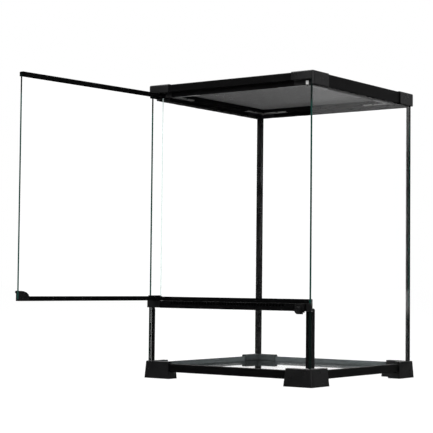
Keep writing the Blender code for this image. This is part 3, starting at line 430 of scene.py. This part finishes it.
# painted highlight: a pale colour for the door pane's edge beside the hinge, standing in for the light
# it catches
hingeEdgeHighlightLook = {"deep": (0.62, 0.73, 0.70, 1), "bright": (0.78, 0.88, 0.85, 1), "rough": 0.3,
                 "shine": 0.4}


def makeHingeEdge(look=hingeEdgeHighlightLook):
    material, tree, shader, place = newMaterial("polishedPaneEdge", Specular_IOR_Level=look["shine"])
    wire(tree, edgeBands(tree, place, look), shader.inputs["Base Color"])
    edgeScratches(tree, shader, place, look)
    return material


meshLook = {"bare": (0.105, 0.105, 0.105, 1), "dull": (0.080, 0.080, 0.081, 1), "rough": 0.42,
            "metal": 0.0, "bands": 62.0, "bandWaver": 1.5, "bandTurn": 18.0,
            "bandShade": (0.055, 0.055, 0.055, 1), "bandShows": 0.5}
# the under colour is painted shade for the faces that look down
clipShadedUnderLook = {"bare": (0.62, 0.62, 0.61, 1), "dull": (0.38, 0.38, 0.37, 1), "rough": 0.26,
            "under": (0.015, 0.015, 0.015, 1)}
pinLook = {"bare": (0.80, 0.80, 0.79, 1), "dull": (0.62, 0.62, 0.61, 1), "rough": 0.26}
catchLook = {"bare": (0.78, 0.78, 0.77, 1), "dull": (0.64, 0.64, 0.63, 1), "rough": 0.34, "metal": 0.2}
darkSteelLook = {"bare": (0.030, 0.030, 0.031, 1), "dull": (0.014, 0.014, 0.015, 1), "rough": 0.34}
steelFinish = {"shine": 0.3, "lines": 2400.0, "grain": 1800.0, "flow": 60.0, "uneven": 0.16,
               "depth": 0.00002}


def makeSteel(name, look, run=(1, 1, 1)):
    material, tree, shader, place = newMaterial(
        name, Metallic=look.get("metal", 1.0), Specular_IOR_Level=steelFinish["shine"])
    lines = useGroup(tree, dieLines, mapped(tree, place, run), Fineness=steelFinish["lines"])
    skin = useGroup(tree, mouldGrain, place, Grain=steelFinish["grain"], Flow=steelFinish["flow"])
    worn = maths(tree, "MULTIPLY", maths(tree, "ADD", lines["Streak"], skin["Tone"]), 0.5)
    colour = mixColour(tree, worn, look["bare"], look["dull"])
    if "bands" in look:        # painted shade: darker diagonal bands for the ripple that the two layers of wire make
        play = addNode(tree, "ShaderNodeTexWave", bands_direction="DIAGONAL", in_Scale=look["bands"],
                       in_Distortion=look["bandWaver"], in_Detail=1.0)
        turned = mapped(tree, place, (1, 1, 1), math.radians(look["bandTurn"]))
        wire(tree, turned, play.inputs["Vector"])
        shows = maths(tree, "MULTIPLY", play.outputs["Fac"], look["bandShows"])
        colour = mixColour(tree, shows, colour, look["bandShade"])
    if "under" in look:        # painted shade: faces that look down are coloured near black
        down = useGroup(tree, mattUnder, place, Rough=1.0)["Roughness"]
        colour = mixColour(tree, down, colour, look["under"])
    wire(tree, colour, shader.inputs["Base Color"])
    rough = mapRange(tree, worn, 0.0, 1.0, look["rough"], look["rough"] + steelFinish["uneven"])
    wire(tree, rough, shader.inputs["Roughness"])
    bumpFrom(tree, shader, lines["Height"], steelFinish["depth"])
    return material


drawnOut, clipDrawn = 40, 12        # how many times longer than wide a die line is
mouldedBlack = makeMouldedBlack("mouldedBlack")
fineMouldedBlack = makeMouldedBlack("fineMouldedBlack", 4200.0, fineLook)
lidBlack = makeMouldedBlack("lidBlack", 2000.0, lidLook)
footBlack = makeMouldedBlack("footBlack", 2600.0, footLook)
baseAlongX = makeExtrudedBlack("extrudedBaseAcross", (drawnOut, 1, 1), look=baseRailLook)
baseAlongY = makeExtrudedBlack("extrudedBaseDeep", (1, drawnOut, 1), look=baseRailLook)
alongX = makeExtrudedBlack("extrudedBlackAcross", (drawnOut, 1, 1))
alongY = makeExtrudedBlack("extrudedBlackDeep", (1, drawnOut, 1))
alongZ = makeExtrudedBlack("extrudedBlackUpright", (1, 1, drawnOut), look=postLook)
alongDoor = makeExtrudedBlack("extrudedBlackDoor", (drawnOut, 1, 1), doorTurn)
blackSilicone = makeSilicone()
clearPane = makePaneGlass("clearPane", paneLook)
floorPane = makePaneGlass("floorPane", floorPaneLook)
groundPaneEdge = makePaneEdge()
polishedPaneEdge = makeHingeEdge()
meshSteel = makeSteel("wovenSteel", meshLook)
clipSteel = makeSteel("clipSteel", clipShadedUnderLook, (clipDrawn, 1, 1))
darkSteel = makeSteel("darkenedSteel", darkSteelLook)
pinSteel = makeSteel("pinSteel", pinLook)
platedSteel = makeSteel("platedSteel", catchLook)
print("materials ready")


# finish for the CAD's own pieces: edges over sharpFrom degrees are rounded by edge
softening = {"weldWithin": 0.00001, "flatWithin": 1, "segments": 2, "sharpFrom": 50}


def finishNode(name, material, edge=0.0):
    piece = nodes[name]
    for slot in piece.material_slots:
        slot.material = material
    if edge:
        weld = piece.modifiers.new("weld", "WELD")
        weld.merge_threshold = softening["weldWithin"]
        flat = piece.modifiers.new("flats", "DECIMATE")
        flat.decimate_type = "DISSOLVE"
        flat.angle_limit = math.radians(softening["flatWithin"])
        soft = piece.modifiers.new("softEdges", "BEVEL")
        soft.width = edge
        soft.segments = softening["segments"]
        soft.limit_method = "ANGLE"
        soft.angle_limit = math.radians(softening["sharpFrom"])
        soft.harden_normals = True


edgeRadius = {"block": 0.0004, "rail": 0.00025, "metal": 0.0001}
for corner in corners:
    finishNode("base_corner_" + corner, footBlack if corner == "back_left" else mouldedBlack,
               edgeRadius["block"])
    finishNode("top_corner_" + corner, mouldedBlack, edgeRadius["block"])
    finishNode("corner_strip_" + corner, alongZ, edgeRadius["rail"])
    finishNode("screen_clip_" + corner, clipSteel, edgeRadius["metal"])
for side in sides:
    across = side in ("front", "back")
    finishNode("base_rail_" + side, baseAlongX if across else baseAlongY, edgeRadius["rail"])
    finishNode("top_rail_" + side, alongX if across else alongY, edgeRadius["rail"])
for name in ("hinge_block", "vent_bar_end", "latch_guide", "latch_slider", "door_handle"):
    finishNode(name, fineMouldedBlack, edgeRadius["rail"])
finishNode("vent_bar", alongX, edgeRadius["rail"])
finishNode("door_bottom_rail", alongDoor, edgeRadius["rail"])
finishNode("door_top_rail", alongDoor, edgeRadius["rail"])
for name in ("screen_frame", "screen_retainer"):
    finishNode(name, lidBlack, edgeRadius["rail"])
for name in ("door_pin_bottom", "door_pin_top"):
    finishNode(name, pinSteel)
finishNode("door_catch_plate", platedSteel)
finishNode("door_magnet", darkSteel)
print("frame pieces finished")


# new pieces
def finishPiece(name, bm, body, materials, stands=(), smooth=40.0, turnOut=True):
    if turnOut:
        bmesh.ops.recalc_face_normals(bm, faces=bm.faces)
    mesh = bpy.data.meshes.new(name)
    bm.to_mesh(mesh)
    bm.free()
    piece = bpy.data.objects.new(name, mesh)
    bpy.context.scene.collection.objects.link(piece)
    for material in materials:
        mesh.materials.append(material)
    if smooth:
        mesh.shade_smooth()
        mesh.set_sharp_from_angle(angle=math.radians(smooth))
    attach(piece, body)
    if stands:
        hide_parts(*stands)
    return piece


# a node's lowest and highest corner in the space that place turns it from
def boxIn(node, place=None):
    back = place.inverted() if place else Matrix.Identity(4)
    points = [back @ vert.co for vert in nodes[node].data.vertices]
    return [Vector([pick(point[axis] for point in points) for axis in range(3)]) for pick in (min, max)]


# the edges that run further than this along an axis
def edgesAlong(edges, axis, further):
    return [edge for edge in edges if abs(edge.verts[0].co[axis] - edge.verts[1].co[axis]) > further]


# pushes a face out; the first face stays behind as the other end, later ones would lie inside
def pushFace(bm, face, keepOld=False):
    made = bmesh.ops.extrude_face_region(bm, geom=[face])["geom"]
    if face.is_valid and not keepOld:
        bmesh.ops.delete(bm, geom=[face], context="FACES_ONLY")
    return next(item for item in made if isinstance(item, bmesh.types.BMFace))


def addBlock(bm, low, high):
    made = bmesh.ops.create_cube(bm, size=1.0)["verts"]
    bmesh.ops.scale(bm, verts=made, vec=high - low)
    bmesh.ops.translate(bm, verts=made, vec=(low + high) / 2)


# panes: every edge is seamed, and the upright one that stands free is rounded more
paneFinish = {"seamed": 0.0002, "pencil": 0.00035, "steps": 3, "sharpFrom": 1.2, "flatFrom": 0.99,
              "hingeFrom": -0.3}


def makePane(name, body, place=None):
    low, high = boxIn(name, place)
    bm = bmesh.new()
    addBlock(bm, low, high)
    size = high - low
    thin = min(range(3), key=lambda axis: size[axis])
    free = {"left_glass": (1, low.y), "right_glass": (1, low.y), "door_glass": (0, high.x)}.get(name)
    if free:
        axis, at = free
        upright = [edge for edge in edgesAlong(bm.edges, 2, size.z / 2)
                   if all(abs(vert.co[axis] - at) < 1e-5 for vert in edge.verts)]
        bmesh.ops.bevel(bm, geom=upright, offset=paneFinish["pencil"], segments=paneFinish["steps"],
                        profile=0.5, affect="EDGES", material=-1)
    sharp = [edge for edge in bm.edges if edge.calc_face_angle(0) > paneFinish["sharpFrom"]]
    bmesh.ops.bevel(bm, geom=sharp, offset=paneFinish["seamed"], segments=1, profile=0.5,
                    affect="EDGES", material=-1)
    for face in bm.faces:
        face.normal_update()
        face.material_index = 0 if abs(face.normal[thin]) > paneFinish["flatFrom"] else 1
        if name == "door_glass" and face.normal.x < paneFinish["hingeFrom"]:
            face.material_index = 2        # painted highlight: the edge beside the hinge is coloured pale
        if name == "right_glass" and face.normal.y > paneFinish["flatFrom"]:
            face.material_index = 0        # clear beside the back pane, as in the photo
    if place:
        bmesh.ops.transform(bm, matrix=place, verts=bm.verts)
    glass = floorPane if name == "floor_glass" else clearPane
    piece = finishPiece(name + "_pane", bm, body, (glass, groundPaneEdge, polishedPaneEdge), (name,), 0)


for name in ("left_glass", "right_glass", "back_glass", "lower_front_glass", "floor_glass"):
    makePane(name, "tank")
makePane("door_glass", "door", doorPlace)
print("panes made")

# woven steel mesh: each wire dips under and over the ones it crosses
weave = {"wires": 132, "wireRadius": 0.00025, "wireSides": 3, "rise": 0.0002}


def makeWeave(name, across, stands):
    low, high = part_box("screen_mesh")
    middle = (low + high) / 2
    length = high.x - low.x
    pitch = length / weave["wires"]
    bm = bmesh.new()
    radius = weave["wireRadius"]
    strand = bmesh.ops.create_cone(bm, cap_ends=True, segments=weave["wireSides"], radius1=radius,
                                   radius2=radius, depth=length)["verts"]
    bmesh.ops.rotate(bm, verts=strand, cent=(0, 0, 0), matrix=Matrix.Rotation(math.pi / 2, 3, "Y"))
    runs = edgesAlong(bm.edges, 0, length / 2)
    bmesh.ops.subdivide_edges(bm, edges=runs, cuts=weave["wires"] - 1, use_grid_fill=False)
    for vert in bm.verts:
        step = round((vert.co.x + length / 2) / pitch)
        vert.co.z += weave["rise"] * (1 if step % 2 else -1) * (-1 if across else 1)
    first = list(bm.verts) + list(bm.edges) + list(bm.faces)
    start = Vector((0, pitch / 2 - length / 2, 0))
    bmesh.ops.translate(bm, verts=list(bm.verts), vec=start)
    # its neighbour is the same wire rolled over, so it dips where the first one rises
    rolled = bmesh.ops.duplicate(bm, geom=first)["geom"]
    other = [item for item in rolled if isinstance(item, bmesh.types.BMVert)]
    bmesh.ops.rotate(bm, verts=other, cent=start, matrix=Matrix.Rotation(math.pi, 3, "X"))
    bmesh.ops.translate(bm, verts=other, vec=(0, pitch, 0))
    pair = list(bm.verts) + list(bm.edges) + list(bm.faces)
    for index in range(1, weave["wires"] // 2):
        made = bmesh.ops.duplicate(bm, geom=pair)["geom"]
        moved = [item for item in made if isinstance(item, bmesh.types.BMVert)]
        bmesh.ops.translate(bm, verts=moved, vec=(0, 2 * pitch * index, 0))
    if across:
        quarter = Matrix.Rotation(math.pi / 2, 3, "Z")
        bmesh.ops.rotate(bm, verts=bm.verts, cent=(0, 0, 0), matrix=quarter)
    bmesh.ops.translate(bm, verts=bm.verts, vec=middle)
    # the wires already point outwards
    piece = finishPiece(name, bm, "lid", (meshSteel,), stands, 180.0, False)


makeWeave("mesh_wires_across", False, ("screen_mesh",))
makeWeave("mesh_wires_deep", True, ())
print("woven mesh made")


# turned pieces: a disc drawn down step by step, each level a height and a radius
def drawDown(bm, levels, segments):
    bmesh.ops.create_circle(bm, cap_ends=True, segments=segments, radius=levels[0][1])
    face = next(iter(bm.faces))
    bmesh.ops.translate(bm, verts=face.verts, vec=(0, 0, levels[0][0]))
    for index, (height, radius) in enumerate(levels[1:]):
        face = stepTo(bm, face, height, radius / face.verts[0].co.xy.length, index == 0)
    return face


def stepTo(bm, face, height, factor, keepOld=False):
    face = pushFace(bm, face, keepOld)
    bmesh.ops.scale(bm, verts=face.verts, vec=(factor, factor, 1))
    bmesh.ops.translate(bm, verts=face.verts, vec=(0, 0, height - face.verts[0].co.z))
    return face


def bodyOf(node):
    return nodes[node].parent.name.split(":")[1]


# pan head screws, seen from below, with a cross recess
screw = {"head": 0.0011, "neck": 0.0010, "point": 0.0003, "pointWide": 0.8, "rim": 0.00035,
         "dome": ((0.4, 0.93), (0.12, 0.78)), "face": 0.66, "segments": 24, "turned": (17, 29),
         "recess": 0.62, "rimIn": 0.00001, "depth": 0.00065, "taper": 0.7, "web": 0.34, "webFrom": 0.7}


def makeScrew(corner):
    node = "clip_screw_" + corner
    low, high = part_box(node)
    radius = (high.x - low.x) / 2
    top, head, neck = high.z - low.z, screw["head"], screw["neck"]
    levels = [(top, neck * screw["pointWide"]), (top - screw["point"], neck), (head, neck),
              (head, radius), (head - screw["rim"], radius)]
    levels += [(head * height, radius * width) for height, width in screw["dome"]]
    levels += [(0, radius * screw["face"])]
    bm = bmesh.new()
    face = drawDown(bm, levels, screw["segments"])
    face = stepTo(bm, face, screw["rimIn"], screw["recess"] / screw["face"])
    # between the four arms of the cross the rim is drawn in
    for vert in face.verts:
        if abs(math.cos(2 * math.atan2(vert.co.y, vert.co.x))) < screw["webFrom"]:
            vert.co.xy *= screw["web"]
    stepTo(bm, face, screw["depth"], screw["taper"])
    turn = math.radians(screw["turned"][0] + screw["turned"][1] * corners.index(corner))
    bmesh.ops.rotate(bm, verts=bm.verts, cent=(0, 0, 0), matrix=Matrix.Rotation(turn, 3, "Z"))
    bmesh.ops.translate(bm, verts=bm.verts, vec=((low.x + high.x) / 2, (low.y + high.y) / 2, low.z))
    piece = finishPiece(node + "_cross_head", bm, bodyOf(node), (clipSteel,), (node,), 30.0)


# the latch knob: fluted for the finger, its front dished
knob = {"stem": 0.0015, "neck": 0.0031, "neckFrom": 0.0017, "capFrom": 0.0029, "capEdge": 0.0004,
        "round": 0.0010, "flute": 0.00035, "flutes": 12, "fluteFrom": 0.9, "rim": 0.80,
        "dish": ((0.00049, 0.88), (0.0007, 0.6))}


def makeKnob():
    low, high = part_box("latch_knob")
    radius, depth = (high.x - low.x) / 2, high.y - low.y
    neckFrom, capFrom, edge, soft = (knob[key] for key in ("neckFrom", "capFrom", "capEdge", "round"))
    levels = [(0, knob["stem"]), (-neckFrom, knob["stem"]), (-neckFrom, knob["neck"]),
              (-capFrom, knob["neck"]), (-capFrom, radius - edge), (-capFrom - edge, radius),
              (-depth + soft, radius), (-depth + soft * 0.3, radius - soft * 0.3),
              (-depth, radius - soft)]
    segments = 3 * knob["flutes"]
    bm = bmesh.new()
    face = drawDown(bm, levels, segments)
    for vert in bm.verts:
        turn = round(math.atan2(vert.co.y, vert.co.x) / (2 * math.pi) * segments)
        if vert.co.xy.length > radius * knob["fluteFrom"] and turn % 3 == 0:
            vert.co.xy *= 1 - knob["flute"] / radius
    face = stepTo(bm, face, -depth, knob["rim"])
    for hollow, factor in knob["dish"]:
        face = stepTo(bm, face, -depth + hollow, factor)
    forwards = Matrix.Rotation(-math.pi / 2, 3, "X")
    bmesh.ops.rotate(bm, verts=bm.verts, cent=(0, 0, 0), matrix=forwards)
    bmesh.ops.translate(bm, verts=bm.verts, vec=((low.x + high.x) / 2, high.y, (low.z + high.z) / 2))
    piece = finishPiece("latch_knob_fluted", bm, bodyOf("latch_knob"), (fineMouldedBlack,),
                        ("latch_knob",), 32.0)


for corner in corners:
    makeScrew(corner)
makeKnob()
print("screws and knob made")

# silicone in the two back corners, inside the glass
bead = {"leg": 0.0045, "backLegs": {"back_left": 0.0070, "back_right": 0.0045}, "waver": 0.0004,
        "step": 0.006, "clear": 0.00004, "foot": 0.0005, "head": 0.0004,
        "tooled": 0.85, "tooledSteps": 6, "tooledHollow": 0.3, "ripple": (55, 200), "swell": 0.7,
        "swellsFrom": 0.15}


def makeBead(corner, sign):
    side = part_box("left_glass" if sign < 0 else "right_glass")
    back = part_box("back_glass")
    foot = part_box("floor_glass")[1].z + bead["foot"]
    start = Vector((side[1].x if sign < 0 else side[0].x, back[0].y, foot))
    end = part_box("top_corner_" + corner)[0].z - bead["head"]
    leg = bead["leg"]
    bm = bmesh.new()
    made = bmesh.ops.create_grid(bm, x_segments=1, y_segments=1, size=leg / 2)["verts"]
    bmesh.ops.translate(bm, verts=made, vec=(leg / 2 + bead["clear"], -leg / 2 - bead["clear"], 0))
    # the tooled hollow between the two panes
    free = [vert for vert in bm.verts if vert.co.x > leg / 2 and vert.co.y < -leg / 2]
    bmesh.ops.bevel(bm, geom=free, offset=leg * bead["tooled"], segments=bead["tooledSteps"],
                    profile=bead["tooledHollow"], affect="VERTICES", material=-1)
    bmesh.ops.scale(bm, verts=bm.verts, vec=(bead["backLegs"][corner] / leg, 1, 1))
    face = next(iter(bm.faces))
    steps = int((end - start.z) / bead["step"])
    for index in range(steps):
        face = pushFace(bm, face, index == 0)
        bmesh.ops.translate(bm, verts=face.verts, vec=(0, 0, (end - start.z) / steps))
    along, across = bead["ripple"]
    for vert in bm.verts:
        at = Vector((vert.co.z * along, vert.co.x * across, 3.0 * sign))
        swell = noise.noise(at) * bead["swell"]
        for axis in (0, 1):
            if abs(vert.co[axis]) > leg * bead["swellsFrom"]:
                vert.co[axis] *= 1 + swell * bead["waver"] / leg * 2
    bmesh.ops.scale(bm, verts=bm.verts, vec=(-sign, 1, 1))
    bmesh.ops.translate(bm, verts=bm.verts, vec=start)
    piece = finishPiece("silicone_bead_" + corner, bm, "tank", (blackSilicone,))


# and a low one along the top of the left and back panes, under the frame's lip
topBead = {"thick": 0.0016, "drops": {"left": 0.0034, "back": 0.0024}, "step": 0.008, "waver": 0.12,
           "ripple": 60, "clear": 0.0001, "ends": 0.0002, "fromFront": 0.008, "rounded": 0.35,
           "roundFrom": 0.6}


def makeTopBead(side):
    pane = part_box(side + "_glass")
    clear, ends = topBead["clear"], topBead["ends"]
    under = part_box("top_rail_" + side)[0].z - clear
    drop, thick = topBead["drops"][side], topBead["thick"]
    run = 1 if side == "left" else 0
    low = Vector((pane[1].x + clear, pane[0].y + topBead["fromFront"], under - drop))
    high = Vector((pane[1].x + thick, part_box("back_glass")[0].y - ends, under))
    if side == "back":
        low = Vector((pane[0].x + ends + thick, pane[0].y - thick, under - drop))
        high = Vector((pane[1].x - ends, pane[0].y - clear, under))
    bm = bmesh.new()
    addBlock(bm, low, high)
    steps = int((high - low)[run] / topBead["step"])
    runs = edgesAlong(bm.edges, run, (high - low)[run] / 2)
    bmesh.ops.subdivide_edges(bm, edges=runs, cuts=steps, use_grid_fill=True)
    for vert in bm.verts:
        at = Vector((vert.co[run] * topBead["ripple"], 4.0, 9.0 * run))
        swell = 1 + noise.noise(at) * topBead["waver"]
        vert.co.z = under - (under - vert.co.z) * swell
    line = under - drop * topBead["roundFrom"]
    lower = [edge for edge in edgesAlong(bm.edges, run, topBead["step"] / 4)
             if max(vert.co.z for vert in edge.verts) < line]
    bmesh.ops.bevel(bm, geom=lower, offset=thick * topBead["rounded"], segments=2, profile=0.5,
                    affect="EDGES", material=-1)
    piece = finishPiece("silicone_bead_top_" + side, bm, "tank", (blackSilicone,))


# the joint between a side pane and the end of the low front pane
lowBead = {"clear": 0.00003, "front": 0.0003, "ends": 0.0005, "step": 0.007, "waver": 0.10,
           "ripple": 70}


def makeLowBead(side):
    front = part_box("lower_front_glass")
    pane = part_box(side + "_glass")
    left, right = (pane[1].x, front[0].x) if side == "left" else (front[1].x, pane[0].x)
    clear, ends = lowBead["clear"], lowBead["ends"]
    low = Vector((left + clear, front[0].y + lowBead["front"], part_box("floor_glass")[1].z + ends))
    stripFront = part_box("corner_strip_front_" + side)[0].y
    high = Vector((right - clear, stripFront - clear, front[1].z - ends))
    bm = bmesh.new()
    addBlock(bm, low, high)
    steps = int((high.z - low.z) / lowBead["step"])
    runs = edgesAlong(bm.edges, 2, (high.z - low.z) / 2)
    bmesh.ops.subdivide_edges(bm, edges=runs, cuts=steps, use_grid_fill=True)
    for vert in bm.verts:
        at = Vector((vert.co.z * lowBead["ripple"], 2.0, 1.0 if side == "left" else 5.0))
        swell = noise.noise(at)
        if vert.co.y < (low.y + high.y) / 2:
            vert.co.y += (0.5 + swell) * lowBead["waver"] * (high.y - low.y)
    piece = finishPiece("silicone_bead_front_" + side, bm, "tank", (blackSilicone,))


# and a dab that closes the slit between a low strip's head and the block over it
dab = {"deep": 0.0010, "clear": 0.00002, "rounded": 0.2, "legWithin": 0.0005}


def makeDab(side, block):
    strip = nodes["corner_strip_front_" + side]
    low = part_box("corner_strip_front_" + side)[0]
    leg = [vert.co for vert in strip.data.vertices if vert.co.y < low.y + dab["legWithin"]]
    head, under = max(co.z for co in leg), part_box(block)[0].z
    left, right = min(co.x for co in leg), max(co.x for co in leg)
    bm = bmesh.new()
    addBlock(bm, Vector((left, low.y, head + dab["clear"])),
             Vector((right, low.y + dab["deep"], under - dab["clear"])))
    across = edgesAlong(bm.edges, 0, (right - left) / 2)
    bmesh.ops.bevel(bm, geom=across, offset=(under - head) * dab["rounded"], segments=2, profile=0.5,
                    affect="EDGES", material=-1)
    piece = finishPiece("silicone_dab_" + side, bm, "tank", (blackSilicone,))


makeDab("left", "hinge_block")
makeDab("right", "vent_bar_end")
makeBead("back_left", -1)
makeBead("back_right", 1)
makeLowBead("left")
makeLowBead("right")
makeTopBead("left")
makeTopBead("back")
print("silicone beads made")

# where the photo was taken from: metres, degrees and pixels
view = {"place": (1.31015, -1.62589, 0.14660), "around": 36.3004, "up": -2.7939, "lean": 0.5716,
        "focalPixels": 1352.76, "imagePixels": 433, "sensor": 36, "near": 0.01}

# floor, backdrop and light
studio = {"ambient": 0.55, "room": 0.04, "floorSeen": 0.86, "floorGlow": 1.08, "throughPanes": 1.10,
          "floorColour": (0.86, 0.86, 0.86, 1), "floorRough": 0.9, "floorSize": 30,
          "floorDarkens": (-2.6, -1.6), "skyDarkens": (-0.75, -0.45), "lampsAim": 0.22, "bounces": 24}


# The backdrop is white behind and above the tank; the room on the camera's side is dark, and shows
# only in reflections.
def facingRoom(tree, place, low, high):
    around = math.radians(view["around"])
    along = addNode(tree, "ShaderNodeVectorMath", operation="DOT_PRODUCT")
    wire(tree, place, along.inputs[0])
    along.inputs[1].default_value = (math.sin(around), -math.cos(around), 0)
    mirrored = addNode(tree, "ShaderNodeLightPath").outputs["Glossy Depth"]
    dark = mapRange(tree, along.outputs["Value"], low, high, 0.0, 1 - studio["room"])
    return maths(tree, "MULTIPLY", dark, maths(tree, "MINIMUM", mirrored, 1.0))


def seenStraight(tree):
    rays = addNode(tree, "ShaderNodeLightPath").outputs
    through = maths(tree, "MAXIMUM", rays["Is Glossy Ray"], rays["Is Transmission Ray"])
    return maths(tree, "MAXIMUM", rays["Is Camera Ray"], through)


# a white seen through the panes is a little stronger, for what each pane takes away
def throughPanes(tree):
    ray = addNode(tree, "ShaderNodeLightPath").outputs["Is Transmission Ray"]
    return mapRange(tree, ray, 0.0, 1.0, 1.0, studio["throughPanes"])


def makeFloor():
    bm = bmesh.new()
    bmesh.ops.create_grid(bm, x_segments=1, y_segments=1, size=studio["floorSize"])
    mesh = bpy.data.meshes.new("studioFloor")
    bm.to_mesh(mesh)
    bm.free()
    floor = bpy.data.objects.new("studioFloor", mesh)
    bpy.context.scene.collection.objects.link(floor)
    material = bpy.data.materials.new("studioFloor")
    material.use_nodes = True
    tree = material.node_tree
    shader = tree.nodes["Principled BSDF"]
    shader.inputs["Base Color"].default_value = studio["floorColour"]
    shader.inputs["Roughness"].default_value = studio["floorRough"]
    shader.inputs["Specular IOR Level"].default_value = 0.0
    glow = tree.nodes.new("ShaderNodeEmission")
    choose = addNode(tree, "ShaderNodeMixShader")
    place = addNode(tree, "ShaderNodeTexCoord").outputs["Object"]
    white = maths(tree, "SUBTRACT", 1.0, facingRoom(tree, place, *studio["floorDarkens"]))
    lit = maths(tree, "MULTIPLY", white, throughPanes(tree))
    wire(tree, maths(tree, "MULTIPLY", lit, studio["floorGlow"]), glow.inputs["Strength"])
    wire(tree, maths(tree, "MULTIPLY", seenStraight(tree), studio["floorSeen"]), choose.inputs[0])
    wire(tree, shader.outputs[0], choose.inputs[1])
    wire(tree, glow.outputs[0], choose.inputs[2])
    wire(tree, choose.outputs[0], tree.nodes["Material Output"].inputs["Surface"])
    mesh.materials.append(material)


# a bright part of the backdrop, far off to the right and rear, that the right pane mirrors at its top
panel = {"towards": (0.515, 0.845, 0.150), "inner": 0.9990, "outer": 0.9968}


def makeWorld():
    world = bpy.data.worlds.new("studioWhite")
    bpy.context.scene.world = world
    world.use_nodes = True
    tree = world.node_tree
    shader = tree.nodes["Background"]
    shader.inputs["Color"].default_value = (1, 1, 1, 1)
    outward = addNode(tree, "ShaderNodeTexCoord").outputs["Generated"]
    lit = mapRange(tree, seenStraight(tree), 0.0, 1.0, studio["ambient"], 1.0)
    near = addNode(tree, "ShaderNodeVectorMath", operation="DOT_PRODUCT")
    wire(tree, outward, near.inputs[0])
    near.inputs[1].default_value = Vector(panel["towards"]).normalized()
    lessDark = mapRange(tree, near.outputs["Value"], panel["outer"], panel["inner"], 1.0, 0.0)
    dark = maths(tree, "MULTIPLY", facingRoom(tree, outward, *studio["skyDarkens"]), lessDark)
    white = maths(tree, "SUBTRACT", 1.0, dark)
    lit = maths(tree, "MULTIPLY", lit, throughPanes(tree))
    wire(tree, maths(tree, "MULTIPLY", lit, white), shader.inputs["Strength"])


lamps = {
    "keyLamp": {"from": (-1.1, -2.2, 2.1), "size": 1.6, "power": 42},
    "fillLamp": {"from": (2.4, -1.0, 1.3), "size": 1.8, "power": 24},
    "topLamp": {"from": (0.2, 0.5, 2.6), "size": 2.0, "power": 26},
}


def makeLamps():
    aim = tankMiddle + Vector((0, 0, studio["lampsAim"]))
    for name, lamp in lamps.items():
        light = bpy.data.lights.new(name, "AREA")
        light.shape = "SQUARE"
        light.size = lamp["size"]
        light.energy = lamp["power"]
        holder = bpy.data.objects.new(name, light)
        holder.location = tankMiddle + Vector(lamp["from"])
        holder.rotation_euler = (aim - holder.location).to_track_quat("-Z", "Y").to_euler()
        bpy.context.scene.collection.objects.link(holder)


makeFloor()
makeWorld()
makeLamps()


# camera
def makeCamera():
    around, up, lean = (math.radians(view[key]) for key in ("around", "up", "lean"))
    back = Vector((math.sin(around) * math.cos(up), -math.cos(around) * math.cos(up), math.sin(up)))
    right = (-back).cross(Vector((0, 0, 1))).normalized()
    top = right.cross(-back)
    leanRight = right * math.cos(lean) + top * math.sin(lean)
    leanTop = -right * math.sin(lean) + top * math.cos(lean)
    data = bpy.data.cameras.new("photoCamera")
    data.sensor_width = view["sensor"]
    data.sensor_fit = "HORIZONTAL"
    data.lens = view["sensor"] * view["focalPixels"] / view["imagePixels"]
    data.clip_start = view["near"]
    camera = bpy.data.objects.new("photoCamera", data)
    turned = Matrix((leanRight, leanTop, back)).transposed().to_4x4()
    camera.matrix_world = Matrix.Translation(view["place"]) @ turned
    bpy.context.scene.collection.objects.link(camera)
    bpy.context.scene.camera = camera


makeCamera()
bpy.context.scene.view_settings.view_transform = "Standard"
bpy.context.scene.cycles.transmission_bounces = studio["bounces"]
bpy.context.scene.cycles.max_bounces = studio["bounces"]
print("studio ready")
